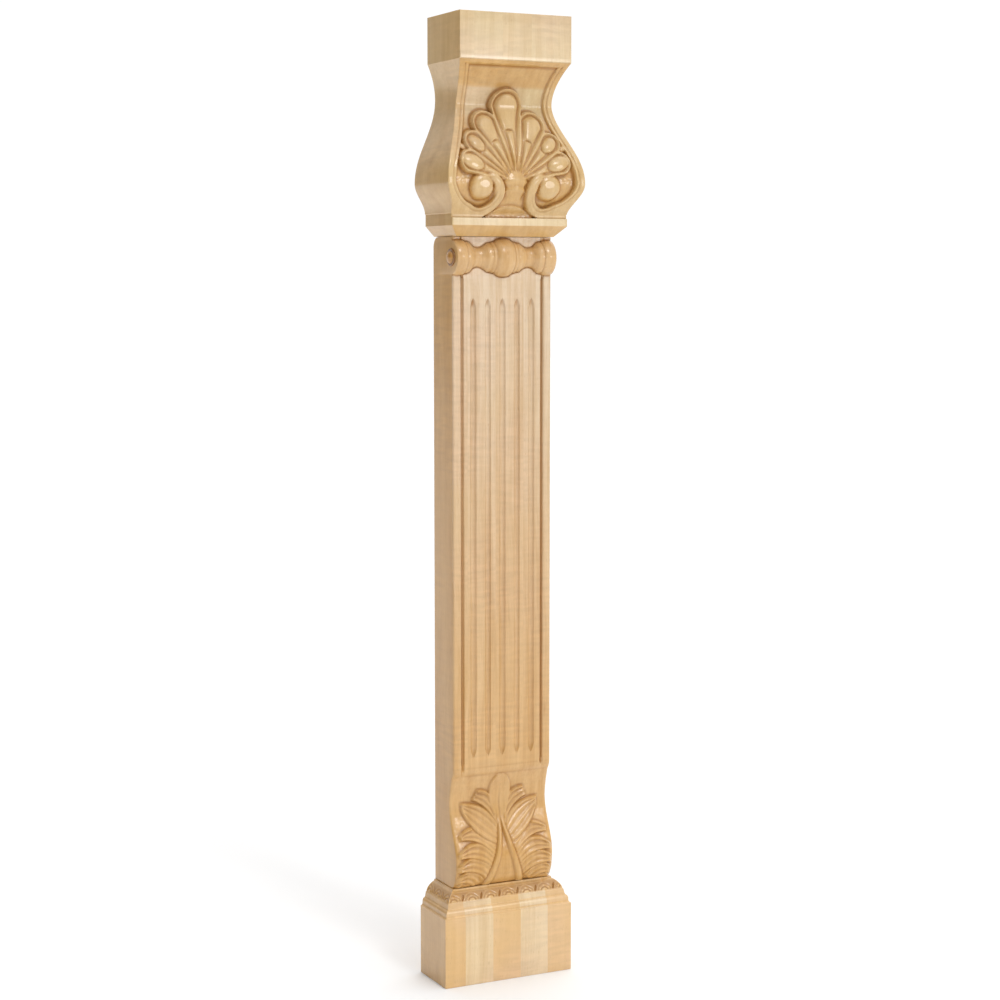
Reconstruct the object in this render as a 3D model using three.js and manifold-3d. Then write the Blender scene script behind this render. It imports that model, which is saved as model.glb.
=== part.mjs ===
// A carved wooden pilaster, of the kind that stands at each side of a fireplace.
// Millimetres. +Z is up, +X is to the right of someone facing it, and the carved front faces -Y.
// The origin is under the middle of the piece, on the floor.
import * as THREE from "three";
import { mergeVertices } from "three/addons/utils/BufferGeometryUtils.js";
import Module from "manifold-3d";

const wasm = await Module();
wasm.setup();

// ---------- driving dimensions ----------

const HEIGHT = 1219.2;
const BACK = 48.8; // y of the flat back; every depth below is measured forwards from it
const GAP = 0.3; // glue line between two blocks

const BASE = { height: 121.8, halfWidth: 90.3, depth: 75.8 };

const SHAFT = { top: 948.5, halfWidth: 69.1, depth: 57.5, backCorner: 13 };
const EDGE_BEAD = { width: 12, rise: 4.5 };
const PANEL_SET_BACK = 1.5; // the fluted panel lies this far behind the beads' crests
const SIDE_GROOVE = { x: 55.6, width: 3.2, depth: 3.4, bottom: 271, taper: 6 };
const FLUTE = { count: 5, pitch: 20.4, width: 8, depth: 3, bottom: 290, top: 870, taper: 9 };
const ROLL = { z: 922.6, depth: 48.5, discInner: 54, discEdge: 21.5, discCrown: 2.1, sunk: 0.3 };
const FOOT = {
  top: 276,
  faceDepth: 56,
  neckZ: 228,
  neckDepth: 44,
  toeZ: 156,
  toeDepth: 65,
  heelDepth: 50,
  edge: 5,
  edgeRound: 3,
};
const ROOT = 14; // how far a carved leaf, petal or band reaches into the block it lies on

const CAPITAL = {
  bandTop: 971,
  bandBottom: 961.5,
  bodyBottom: 976,
  bellyZ: 1014,
  neckZ: 1110,
  blockBottom: 1161.6,
};
const CAPITAL_HALF = { bottom: 68, band: 80, body: 80.8, belly: 94.8, neck: 66.4, block: 76.6 };
const CAPITAL_DEPTH = { bottom: 65, band: 78.5, body: 76, belly: 97.6, neck: 61, block: 94.2 };
const BORDER = { width: 9.5, slope: 2.5, top: 4.5 };
const PANEL_SUNK = { neck: 4, belly: 8.5 };
const SHELL = { z: 1014, lift: 5.5, rim: 4.2, channel: 0.8, boss: 5, stem: 2.8 };
// Each petal leans from upright by `lean` degrees; lengths run from the middle of the shell's foot.
const PETALS = [
  { lean: 0, reach: 117, round: 23, boss: { at: 88, long: 21.5 } },
  { lean: 24.3, reach: 97, round: 19, boss: { at: 79, long: 18 } },
  { lean: 46.5, reach: 87, round: 15.5, boss: { at: 69, long: 12 } },
  { lean: 67.7, reach: 82, round: 16, boss: { at: 63.5, long: 15.5 } },
];
const VOLUTE = { x: 43, z: 1005, eye: 13, eyeUp: 2, bandRadius: 28, turnIn: 12, runOut: 22.5 };
const VOLUTE_BAND = { width: 10.5, endWidth: 7, from: -0.25, to: 0.85 };
const COLLAR = { rings: [1016, 1007], halfWidth: 13, halfHeight: 4, rise: 6.5 };

const BUTTON = { radius: 11, ring: 2.2, height: 5.6, depth: 53.5 };

// ---------- small helpers ----------

const clamp = (value, low, high) => Math.min(high, Math.max(low, value));
const share = (value, from, to) => clamp((value - from) / (to - from), 0, 1);
const blend = (from, to, t) => from + (to - from) * t;
const ease = (t) => (1 - Math.cos(Math.PI * clamp(t, 0, 1))) / 2;
const dome = (q) => Math.sqrt(Math.max(0, 1 - q * q));

// Values from `from` to `to` in steps of about `step`.
function stations(from, to, step) {
  const count = Math.max(1, Math.round((to - from) / step));
  return Array.from({ length: count + 1 }, (_, i) => blend(from, to, i / count));
}

function solidOf(geometry) {
  const bare = geometry.clone();
  bare.deleteAttribute("normal");
  bare.deleteAttribute("uv");
  const merged = mergeVertices(bare, 1e-4);
  return new wasm.Manifold(
    new wasm.Mesh({
      numProp: 3,
      vertProperties: new Float32Array(merged.attributes.position.array),
      triVerts: new Uint32Array(merged.index.array),
    }),
  );
}

function geometryOf(solid) {
  const mesh = solid.getMesh();
  const geometry = new THREE.BufferGeometry();
  geometry.setAttribute("position", new THREE.BufferAttribute(mesh.vertProperties, 3));
  geometry.setIndex(new THREE.BufferAttribute(mesh.triVerts, 1));
  geometry.computeVertexNormals();
  return geometry;
}

function piece(name, solid, color, roughness) {
  const material = new THREE.MeshStandardMaterial({ color, roughness, metalness: 0 });
  const mesh = new THREE.Mesh(geometryOf(solid), material);
  mesh.name = name;
  return mesh;
}

// A block with a flat back and square sides, whose front is carved. Each level z has its own half-width,
// and `front(x, z)` gives how far the carved face stands in front of the back.
function carvedBlock(levels, acrossAt, front) {
  const points = [];
  const faces = [];
  const columns = acrossAt(levels[0]).length;
  levels.forEach((z) => {
    const across = acrossAt(z);
    across.forEach((x) => points.push(x, BACK - front(x, z), z));
    points.push(across[0], BACK, z, across[columns - 1], BACK, z);
  });
  const perLevel = columns + 2;
  const at = (level, k) => level * perLevel + k;
  const quad = (a, b, c, d) => faces.push(a, b, c, a, c, d);
  for (let level = 0; level + 1 < levels.length; level += 1) {
    for (let k = 0; k + 1 < columns; k += 1) {
      quad(at(level, k), at(level, k + 1), at(level + 1, k + 1), at(level + 1, k));
    }
    const backLeft = columns;
    const backRight = columns + 1;
    quad(at(level, columns - 1), at(level, backRight), at(level + 1, backRight), at(level + 1, columns - 1));
    quad(at(level, backRight), at(level, backLeft), at(level + 1, backLeft), at(level + 1, backRight));
    quad(at(level, backLeft), at(level, 0), at(level + 1, 0), at(level + 1, backLeft));
  }
  [0, levels.length - 1].forEach((level) => {
    const ring = [...Array(columns).keys(), columns + 1, columns];
    const outline = ring.map((k) => {
      const start = 3 * at(level, k);
      return new THREE.Vector2(points[start], points[start + 1]);
    });
    const upwards = level > 0;
    THREE.ShapeUtils.triangulateShape(outline, []).forEach(([a, b, c]) => {
      const corner = [at(level, ring[a]), at(level, ring[b]), at(level, ring[c])];
      faces.push(...(upwards ? corner : corner.reverse()));
    });
  });
  const geometry = new THREE.BufferGeometry();
  geometry.setAttribute("position", new THREE.Float32BufferAttribute(points, 3));
  geometry.setIndex(faces);
  return geometry;
}

// A carved leaf, petal or band lying on the front of a block. `place(u, v)` gives the skin's x, z and rise
// over `ground`, for u from -1 to 1 across it and v from 0 to 1 along it. Its root is sunk in the block.
function relief(across, along, place, ground) {
  const points = [];
  const faces = [];
  const columns = across.length;
  for (const sunk of [false, true]) {
    for (const v of along) {
      for (const u of across) {
        const { x, z, rise } = place(u, v);
        points.push(x, BACK - (ground(x, z) + (sunk ? -ROOT : rise)), z);
      }
    }
  }
  const layer = columns * along.length;
  const at = (i, k, under) => i * columns + k + (under ? layer : 0);
  const quad = (a, b, c, d) => faces.push(a, b, c, a, c, d);
  for (let i = 0; i + 1 < along.length; i += 1) {
    for (let k = 0; k + 1 < columns; k += 1) {
      quad(at(i, k), at(i, k + 1), at(i + 1, k + 1), at(i + 1, k));
      quad(at(i, k, true), at(i + 1, k, true), at(i + 1, k + 1, true), at(i, k + 1, true));
    }
    const last = columns - 1;
    quad(at(i, 0), at(i + 1, 0), at(i + 1, 0, true), at(i, 0, true));
    quad(at(i, last), at(i, last, true), at(i + 1, last, true), at(i + 1, last));
  }
  for (let k = 0; k + 1 < columns; k += 1) {
    const last = along.length - 1;
    quad(at(0, k), at(0, k, true), at(0, k + 1, true), at(0, k + 1));
    quad(at(last, k), at(last, k + 1), at(last, k + 1, true), at(last, k, true));
  }
  const geometry = new THREE.BufferGeometry();
  geometry.setAttribute("position", new THREE.Float32BufferAttribute(points, 3));
  geometry.setIndex(faces);
  const solid = solidOf(geometry);
  return solid.volume() > 0 ? solid : turnedOut(geometry);
}

// The same closed surface with its faces turned round.
function turnedOut(geometry) {
  const index = geometry.index.array;
  for (let i = 0; i < index.length; i += 3) [index[i], index[i + 1]] = [index[i + 1], index[i]];
  return solidOf(geometry);
}

// A smooth pebble-shaped swelling centred on a block's front.
function swelling(x, z, halfWidth, halfHeight, rise, ground) {
  const ball = new THREE.SphereGeometry(1, 12, 8);
  ball.scale(halfWidth, rise, halfHeight);
  ball.translate(x, BACK - ground(x, z), z);
  return solidOf(ball);
}

// ---------- base ----------

// How far the moulding steps in from the plinth's face, from the plinth's top upwards.
const MOULDING = [
  [89.5, 0],
  [90.3, 1.8],
  [91.8, 2.8],
  [93.4, 2.4],
  [96, 2.3],
  [98.4, 3.6],
  [99.8, 5.8],
  [101, 6.3],
  [106.4, 7.3],
  [107.2, 8.4],
  [109.5, 8.7],
  [112.5, 10.2],
  [116, 13.3],
  [118.6, 16.6],
  [119.6, 19],
  [121.8, 19.6],
];
const LEAF_NOTCH = { pitch: 26, low: 108, high: 119, radius: 3.4, inset: 9.2, lean: 0.72, fromCorner: 0.7 };

// A rectangle in plan at each height, its back edge against the wall.
function mouldedBlock(profile, halfWidth, depth) {
  const shape = profile.map(([z, inset]) => ({ z, half: halfWidth - inset, front: depth - inset }));
  const levels = [{ z: 0, half: halfWidth, front: depth }, ...shape];
  const halfAt = new Map(levels.map((level) => [level.z, level]));
  return carvedBlock(
    levels.map((level) => level.z),
    (z) => [-halfAt.get(z).half, halfAt.get(z).half],
    (x, z) => halfAt.get(z).front,
  );
}

// A slanting cut between two carved leaves; `turn` swings it round to the sides of the block.
function leafCut(x, y, turn) {
  const { low, high, radius, lean } = LEAF_NOTCH;
  const overlap = 3;
  const cut = new THREE.CylinderGeometry(radius, radius * 0.3, high - low + 2 * overlap, 4);
  cut.rotateX(Math.PI / 2 - lean);
  cut.rotateZ(turn);
  cut.translate(x, y, (low + high) / 2 + 1);
  return solidOf(cut);
}

function base() {
  let solid = solidOf(mouldedBlock(MOULDING, BASE.halfWidth, BASE.depth));
  const { pitch, inset, fromCorner } = LEAF_NOTCH;
  const front = BACK - BASE.depth + inset;
  const side = BASE.halfWidth - inset;
  for (let k = -3; k <= 3; k += 1) solid = solid.subtract(leafCut(k * pitch, front, 0));
  for (let k = 0; k < 2; k += 1) {
    const y = front + (k + fromCorner) * pitch;
    solid = solid.subtract(leafCut(side, y, Math.PI / 2)).subtract(leafCut(-side, y, -Math.PI / 2));
  }
  return piece("base", solid, 0xd2b385, 0.42);
}

// ---------- shaft ----------

// The scrolled foot seen from the side: shaft face, hollow neck, round toe and heel.
function footDepth(z) {
  const { top, faceDepth, neckZ, neckDepth, toeZ, toeDepth, heelDepth } = FOOT;
  if (z >= neckZ) return blend(neckDepth, faceDepth, share(z, neckZ, top) ** 1.6);
  if (z >= toeZ) return blend(toeDepth, neckDepth, ease(share(z, toeZ, neckZ)));
  return blend(heelDepth, toeDepth, dome(1 - share(z, BASE.height, toeZ)));
}

// The acanthus: a middle lobe with a vein, two stems that part downwards, and lobes that sweep off them.
const LEAF = {
  tip: 264,
  widest: 241,
  fork: 194,
  bottom: 123,
  lobeHalf: 16.5,
  waistHalf: 6,
  stemOut: 22,
  stemHalf: 4.5,
  rise: 3.4,
};
// Each side lobe lies between an upper and a lower curve: where it leaves the stem, its bend and its end.
const SIDE_LOBES = [
  { upper: [[3, 206], [9, 240], [32, 243]], lower: [[5, 197], [14, 225], [37, 230]] },
  { upper: [[4.6, 199], [15, 229], [48, 230]], lower: [[8, 177], [22, 206], [46, 205]] },
  { upper: [[7.4, 181], [21, 211], [54, 198]], lower: [[12, 165], [26, 189], [50, 190]] },
  { upper: [[11.3, 168], [25, 192], [54, 192]], lower: [[17, 149], [30, 173], [57, 178]] },
  { upper: [[16.2, 153], [29, 176], [57, 180]], lower: [[24, 137], [34, 161], [60, 163]] },
  { upper: [[23.2, 141], [33, 165], [61, 165]], lower: [[34, 124], [40, 147], [63, 148]] },
  { upper: [[33.1, 127.3], [41, 152], [64, 151]], lower: [[50, 123.4], [53, 136], [66, 134]] },
];

function footFace(x, z) {
  const half = SHAFT.halfWidth;
  return footDepth(z) - FOOT.edgeRound * (1 - dome(share(Math.abs(x), half - FOOT.edge, half)));
}

function middleLobe() {
  const { tip, widest, fork, lobeHalf, waistHalf, rise } = LEAF;
  const place = (u, v) => {
    const z = blend(fork, tip, v);
    const arch = lobeHalf * dome((z - widest) / (tip - widest));
    const half = z > widest ? Math.max(2, arch) : blend(waistHalf, lobeHalf, ease(share(z, fork, widest)));
    const spoon = 0.35 + 0.65 * Math.min(1, Math.abs(u) * 1.2);
    return { x: half * u, z, rise: rise * spoon * (1 - 0.45 * v) };
  };
  return relief([-1, -0.8, 0, 0.8, 1], stations(0, 1, 0.125), place, footFace);
}

function leafStem(side) {
  const place = (u, v) => {
    const z = blend(LEAF.bottom, LEAF.fork + 4, v);
    const middle = 3 + LEAF.stemOut * (1 - v) ** 1.3;
    return { x: side * (middle + LEAF.stemHalf * u), z, rise: LEAF.rise * (dome(u) + 0.1) };
  };
  return relief([-1, 0, 1], stations(0, 1, 0.14), place, footFace);
}

function sideLobe(lobe, side) {
  const curve = (points) => {
    const [root, bend, end] = points.map(([x, z]) => new THREE.Vector2(side * x, z));
    return new THREE.QuadraticBezierCurve(root, bend, end);
  };
  const upper = curve(lobe.upper);
  const lower = curve(lobe.lower);
  const place = (u, v) => {
    const point = upper.getPoint(v).lerp(lower.getPoint(v), (1 + u) / 2);
    const spoon = 0.35 + 0.65 * u * u;
    return { x: point.x, z: point.y, rise: 0.3 + LEAF.rise * spoon * (0.3 + 0.7 * v) };
  };
  return relief([-1, -0.7, 0, 0.7, 1], [0, 0.25, 0.5, 0.75, 1], place, footFace);
}

function foot() {
  const levels = [BASE.height + GAP, ...stations(LEAF.bottom + 3, FOOT.top, 8.4), FOOT.top + ROOT];
  const half = SHAFT.halfWidth;
  const turn = FOOT.edge / 4;
  const across = [-half, turn - half, FOOT.edge - half, half - FOOT.edge, half - turn, half];
  const tenon = SHAFT.depth - EDGE_BEAD.rise - GAP; // the top of this block is hidden in the shaft
  const front = (x, z) => (z > FOOT.top ? tenon : footFace(x, z));
  let solid = solidOf(carvedBlock(levels, () => across, front)).add(middleLobe());
  for (const side of [-1, 1]) {
    for (const lobe of SIDE_LOBES) solid = solid.add(sideLobe(lobe, side));
    solid = solid.add(leafStem(side));
  }
  return solid;
}

// The shaft in plan: a flat back and sides, a rounded bead up each front edge and a flat panel between them.
function shaftSection() {
  const { halfWidth, depth } = SHAFT;
  const inner = halfWidth - EDGE_BEAD.width;
  const face = BACK - depth;
  const steps = 6;
  const right = [new THREE.Vector2(halfWidth, BACK)];
  for (let i = 0; i <= steps; i += 1) {
    const across = 1 - i / steps;
    const fall = EDGE_BEAD.rise * (1 - dome(2 * across - 1));
    right.push(new THREE.Vector2(inner + EDGE_BEAD.width * across, face + fall));
  }
  right.push(new THREE.Vector2(inner, face + PANEL_SET_BACK));
  const left = right.map((p) => new THREE.Vector2(-p.x, p.y)).reverse();
  return new THREE.Shape([...right, ...left]);
}

// Stands a plan outline up along z.
function standing(shape, from, to) {
  const geometry = new THREE.ExtrudeGeometry(shape, { depth: to - from, bevelEnabled: false });
  geometry.translate(0, 0, from);
  return geometry;
}

// A long round-bottomed cutter with tapered ends, lying along z.
function grooveCutter(x, face, width, depth, bottom, top, taper) {
  const radius = (width * width * 0.25 + depth * depth) / (2 * depth);
  const steps = 4;
  const end = Array.from({ length: steps }, (_, i) => {
    const t = i / steps;
    return new THREE.Vector2(radius * dome(1 - t), taper * t);
  });
  const profile = [
    ...end.map((p) => new THREE.Vector2(p.x, bottom + p.y)),
    new THREE.Vector2(radius, bottom + taper),
    new THREE.Vector2(radius, top - taper),
    ...end.reverse().map((p) => new THREE.Vector2(p.x, top - p.y)),
  ];
  profile[0].x = 0;
  profile[profile.length - 1].x = 0;
  const cutter = new THREE.LatheGeometry(profile, 12);
  cutter.rotateX(Math.PI / 2);
  cutter.translate(x, BACK - face - radius + depth, 0);
  return solidOf(cutter);
}

// Radius of the roll at distances from its middle: a bead, fillets, a slender neck and a flared end.
const ROLL_MARKS = [
  [0, 25.5],
  [5, 25.1],
  [10, 23.3],
  [13.5, 20.4],
  [16, 21],
  [18, 19.6],
  [23, 19.3],
  [27, 16.6],
  [31, 14.5],
  [35, 14],
  [40, 14.8],
  [43, 16.8],
  [46, 19.6],
  [50, 21.3],
  [53.6, 20.6],
];

// The bead-and-reel roll with a crowned disc at each end.
function roll() {
  const { discInner, discEdge, discCrown, sunk } = ROLL;
  const end = SHAFT.halfWidth - sunk;
  const disc = stations(discInner, end, 2.5).map((x) => {
    const across = (2 * (x - discInner)) / (end - discInner) - 1;
    return [x, discEdge + discCrown * dome(across)];
  });
  const half = [...ROLL_MARKS, ...disc, [end, 0]];
  const rightSide = half.map(([x, r]) => new THREE.Vector2(r, x));
  const leftSide = half.slice(1).map(([x, r]) => new THREE.Vector2(r, -x));
  const lathe = new THREE.LatheGeometry([...leftSide.reverse(), ...rightSide], 20);
  lathe.rotateZ(-Math.PI / 2);
  lathe.translate(0, BACK - ROLL.depth, ROLL.z);
  return solidOf(lathe);
}

// Rounds the top back corner of the shaft, along its whole width.
function backCornerCutter() {
  const r = SHAFT.backCorner;
  const over = 4;
  const shape = new THREE.Shape();
  shape.moveTo(over, over);
  shape.lineTo(-r, over);
  shape.lineTo(-r, 0);
  shape.absarc(-r, -r, r, Math.PI / 2, 0, true);
  shape.lineTo(over, -r);
  const long = 2 * SHAFT.halfWidth + 2 * over;
  const cutter = new THREE.ExtrudeGeometry(shape, { depth: long, bevelEnabled: false, curveSegments: 6 });
  cutter.translate(0, 0, -long / 2);
  // x of the outline becomes y, y becomes z, and the length runs along x.
  const top = SHAFT.top - GAP;
  cutter.applyMatrix4(new THREE.Matrix4().set(0, 0, 1, 0, 1, 0, 0, BACK, 0, 1, 0, top, 0, 0, 0, 1));
  return solidOf(cutter);
}

function shaft() {
  const face = SHAFT.depth - PANEL_SET_BACK;
  let solid = solidOf(standing(shaftSection(), FOOT.top, SHAFT.top - GAP));
  solid = solid.add(foot()).add(roll()).subtract(backCornerCutter());
  for (let k = 0; k < FLUTE.count; k += 1) {
    const x = (k - (FLUTE.count - 1) / 2) * FLUTE.pitch;
    const { width, depth, bottom, top, taper } = FLUTE;
    solid = solid.subtract(grooveCutter(x, face, width, depth, bottom, top, taper));
  }
  for (const side of [-1, 1]) {
    const { x, width, depth, bottom, taper } = SIDE_GROOVE;
    solid = solid.subtract(grooveCutter(side * x, face, width, depth, bottom, ROLL.z - ROLL.discEdge, taper));
  }
  return piece("shaft", solid, 0xccad86, 0.42);
}

// ---------- capital ----------

function capitalHalf(z) {
  const { bandTop, bandBottom, bodyBottom, bellyZ, neckZ, blockBottom } = CAPITAL;
  const half = CAPITAL_HALF;
  const narrow = neckZ + 8;
  if (z >= blockBottom) return half.block;
  if (z >= narrow) return blend(half.neck, half.block, share(z, narrow, blockBottom) ** 2);
  if (z >= bellyZ) return blend(half.belly, half.neck, ease(share(z, bellyZ, narrow)));
  if (z >= bodyBottom) return blend(half.body, half.belly, ease(share(z, bodyBottom, bellyZ)));
  if (z >= bandTop) return half.band;
  return z >= bandBottom ? half.band : blend(half.bottom, half.band, share(z, SHAFT.top, bandBottom));
}

function capitalDepth(z) {
  const { bandTop, bandBottom, bodyBottom, bellyZ, neckZ, blockBottom } = CAPITAL;
  const depth = CAPITAL_DEPTH;
  if (z >= blockBottom) return depth.block;
  if (z >= neckZ) return blend(depth.neck, depth.block, share(z, neckZ, blockBottom) ** 1.6);
  if (z >= bellyZ) return blend(depth.neck, depth.belly, ease(share(z, neckZ, bellyZ) ** 0.85));
  if (z >= bodyBottom) return blend(depth.body, depth.belly, ease(share(z, bodyBottom, bellyZ) ** 0.65));
  if (z >= bandTop) return depth.body;
  return z >= bandBottom ? depth.band : blend(depth.bottom, depth.band, share(z, SHAFT.top, bandBottom));
}

// How far the serpentine front would stand out without its carving, and with its panel sunk.
function panelDepth(x, z) {
  const { bodyBottom, bellyZ, neckZ, blockBottom } = CAPITAL;
  const edge = capitalDepth(z);
  if (z < bodyBottom || z >= blockBottom) return edge;
  const deep = blend(PANEL_SUNK.neck, PANEL_SUNK.belly, ease(share(z, neckZ, bellyZ)));
  const fromSide = share(capitalHalf(z) - Math.abs(x), BORDER.width, BORDER.width + BORDER.slope);
  const fromTop = share(blockBottom - z, BORDER.top, BORDER.top + 1);
  return edge - deep * Math.min(fromSide, fromTop);
}

// One petal: a raised rim round a hollow, and a pebble in the hollow that tails off into a rib.
function petalSolid(petal, side) {
  const lean = side * THREE.MathUtils.degToRad(petal.lean);
  const centre = petal.reach - petal.round;
  const { at, long } = petal.boss;
  const straight = 0.72; // share of the length below the round end
  const place = (u, v) => {
    const angle = (Math.PI / 2) * share(v, straight, 1) * 0.97;
    const along = v < straight ? blend(14, centre, v / straight) : centre + petal.round * Math.sin(angle);
    const half = v < straight ? (petal.round * along) / centre : petal.round * Math.cos(angle);
    const across = half * u;
    const inside = Math.min(half - Math.abs(across), v < straight ? half : petal.reach - along + 1);
    const rim = Math.sin(Math.PI * clamp((inside + 0.8) / 6.5, 0, 1));
    const boss = dome(Math.hypot((along - at) / long, across / (0.56 * petal.round)));
    const stem = along < at - long ? dome(Math.abs(u) / 0.3) : 0;
    const lift = SHELL.lift * share(along, 0, centre) ** 0.7;
    const rise = lift + SHELL.channel + Math.max(SHELL.rim * rim, SHELL.boss * boss, SHELL.stem * stem);
    return {
      x: along * Math.sin(lean) + across * Math.cos(lean),
      z: SHELL.z + along * Math.cos(lean) - across * Math.sin(lean),
      rise: Math.abs(u) === 1 ? lift + SHELL.channel : rise,
    };
  };
  const across = [-1, -0.88, -0.62, -0.34, 0, 0.34, 0.62, 0.88, 1];
  const rows = [0, 0.22, 0.38, 0.46, 0.54, 0.63, 0.72, 0.8, 0.87, 0.94, 1];
  return relief(across, rows, place, panelDepth);
}

// The volute's spiral: it leaves the border, passes under the eye and winds round it.
function voluteSolid(side) {
  const { from, to, width, endWidth } = VOLUTE_BAND;
  const place = (u, v) => {
    const turns = blend(from, to, v);
    const outward = turns < 0 ? VOLUTE.runOut * (turns / from) ** 2 : 0;
    const radius = VOLUTE.bandRadius + outward - VOLUTE.turnIn * Math.max(0, turns);
    const half = blend(width, endWidth, Math.max(0, turns)) / 2;
    const angle = 2 * Math.PI * turns;
    const away = radius + half * u;
    const x = VOLUTE.x - away * Math.sin(angle);
    const z = VOLUTE.z - away * Math.cos(angle);
    const room = capitalHalf(z) - 0.4;
    const shown = Math.min(x, room);
    const crest = capitalDepth(z) - panelDepth(shown, z);
    return { x: side * shown, z, rise: Math.max(0, crest - 2.2 * (1 - dome(u))) };
  };
  return relief([-1, -0.6, 0, 0.6, 1], stations(0, 1, 0.05), place, panelDepth);
}

function capital() {
  const { bandTop, bandBottom, bodyBottom, bellyZ, blockBottom } = CAPITAL;
  const hair = 0.05; // a ledge needs two levels that nearly meet
  const levelStep = 7;
  const levels = [
    SHAFT.top,
    bandBottom,
    bandTop - hair,
    bandTop,
    ...stations(bodyBottom, bellyZ, levelStep),
    ...stations(bellyZ + levelStep, blockBottom - BORDER.top - 1, levelStep),
    blockBottom - BORDER.top,
    blockBottom - hair,
    blockBottom,
    HEIGHT,
  ];
  const acrossAt = (z) => {
    const half = capitalHalf(z);
    const outer = half - BORDER.width;
    const inner = outer - BORDER.slope;
    return [-half, -outer, -inner, inner, outer, half];
  };
  let solid = solidOf(carvedBlock(levels, acrossAt, panelDepth));
  for (const side of [-1, 1]) {
    const leaning = PETALS.filter((petal) => petal.lean > 0);
    for (const petal of leaning) solid = solid.add(petalSolid(petal, side));
    const { x, z, eye, eyeUp } = VOLUTE;
    solid = solid.add(voluteSolid(side));
    solid = solid.add(swelling(side * x, z + eyeUp, eye, eye, PANEL_SUNK.belly - GAP, panelDepth));
  }
  solid = solid.add(petalSolid(PETALS[0], 1));
  for (const z of COLLAR.rings) {
    solid = solid.add(swelling(0, z, COLLAR.halfWidth, COLLAR.halfHeight, COLLAR.rise, panelDepth));
  }
  return piece("capital", solid, 0xd0b488, 0.42);
}

// ---------- buttons ----------

// A turned button: a flat ring with a dome on it, lying on the flat end of the roll.
function button(name, side) {
  const { radius, ring, height } = BUTTON;
  const inner = radius * 0.72;
  const steps = 5;
  const profile = [
    [0, 0],
    [radius - 0.5, 0],
    [radius, 0.5],
    [radius, ring - 0.6],
    [radius - 0.6, ring],
    [inner + 0.4, ring],
  ];
  for (let i = 0; i <= steps; i += 1) {
    const angle = (Math.PI / 2) * (i / steps);
    profile.push([inner * Math.cos(angle), ring + (height - ring) * Math.sin(angle)]);
  }
  profile[profile.length - 1][0] = 0;
  const lathe = new THREE.LatheGeometry(
    profile.map(([r, x]) => new THREE.Vector2(r, x)),
    16,
  );
  lathe.rotateZ(-side * (Math.PI / 2));
  lathe.translate(side * (SHAFT.halfWidth - ROLL.sunk + GAP), BACK - BUTTON.depth, ROLL.z);
  return piece(name, solidOf(lathe), 0xc08a4a, 0.38);
}

const pilaster = new THREE.Group();
pilaster.add(base(), shaft(), capital(), button("button_left", -1), button("button_right", 1));

export default pilaster;
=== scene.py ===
import math

import bmesh
import bpy
import numpy as np
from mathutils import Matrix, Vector


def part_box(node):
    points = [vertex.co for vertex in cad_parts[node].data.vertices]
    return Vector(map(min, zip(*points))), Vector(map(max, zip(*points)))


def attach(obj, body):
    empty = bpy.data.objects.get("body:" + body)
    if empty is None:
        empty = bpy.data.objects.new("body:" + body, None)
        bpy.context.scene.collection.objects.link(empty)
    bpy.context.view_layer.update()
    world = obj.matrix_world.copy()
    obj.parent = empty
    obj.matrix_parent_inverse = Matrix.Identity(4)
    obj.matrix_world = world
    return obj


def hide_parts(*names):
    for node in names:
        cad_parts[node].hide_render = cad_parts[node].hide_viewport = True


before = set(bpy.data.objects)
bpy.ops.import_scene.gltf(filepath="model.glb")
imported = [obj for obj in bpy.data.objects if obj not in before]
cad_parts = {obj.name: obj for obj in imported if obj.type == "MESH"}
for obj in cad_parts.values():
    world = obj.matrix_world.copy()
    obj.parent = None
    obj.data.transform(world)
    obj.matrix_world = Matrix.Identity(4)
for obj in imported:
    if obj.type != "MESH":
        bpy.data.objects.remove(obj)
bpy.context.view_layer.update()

# A carved wooden pilaster. Each block is a fine grid shaped into its carved front and closed behind.
# Lengths are millimetres up to the finishes, and metres in the finishes and the studio.
# x runs across the piece from its middle, z runs up, and depth runs forwards from the flat back.

MM = 0.001


def box_mm(node):
    low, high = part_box(node)
    return np.array(low) / MM, np.array(high) / MM


BACK = box_mm("base")[1][1]

# ---------- shaping helpers ----------


def share(value, start, end):
    """How far a value has gone from start to end, from 0 to 1."""
    return np.clip((value - start) / (end - start), 0.0, 1.0)


def blend(start, end, amount):
    return start + (end - start) * amount


def ease(amount):
    """The same amount, starting and ending level."""
    return (1 - np.cos(np.pi * np.clip(amount, 0.0, 1.0))) / 2


def dome(q):
    """A half circle over -1 to 1, and nothing beyond."""
    return np.sqrt(np.clip(1 - q * q, 0.0, None))


def bump(value, middle, width):
    """A bell-shaped ridge, 1 at its middle."""
    return np.exp(-(((value - middle) / width) ** 2))


def steps(start, end, step):
    """Even levels from start to end, about a step apart."""
    return np.linspace(start, end, max(1, round(abs(end - start) / step)) + 1)


def joined(*runs):
    """Runs of rising levels as one, each level once."""
    merged = np.concatenate(runs)
    keep = np.concatenate([[True], np.diff(merged) > 1e-6])
    return merged[keep]


def hand_wave(x, z, size):
    """The slight unevenness a gouge leaves, from -1 to 1, about `size` mm from crest to crest."""
    k = 2 * np.pi / size
    first = np.sin(k * x + 1.3 * np.sin(0.61 * k * z)) * np.sin(0.83 * k * z + 0.9 * np.sin(0.7 * k * x))
    second = np.sin(0.57 * k * (x + z) + 2.1) * np.sin(0.71 * k * (x - z) + 0.4)
    return 0.6 * first + 0.4 * second


# ---------- capital ----------

CAPITAL_LOW, CAPITAL_HIGH = box_mm("capital")
CAPITAL_HALF = CAPITAL_HIGH[0]
CAPITAL_FRONT = BACK - CAPITAL_LOW[1]
JOINT_Z = CAPITAL_LOW[2]
BLOCK = {"bottom": 1161.6, "half": 76.6, "depth": 94.2}
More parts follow.
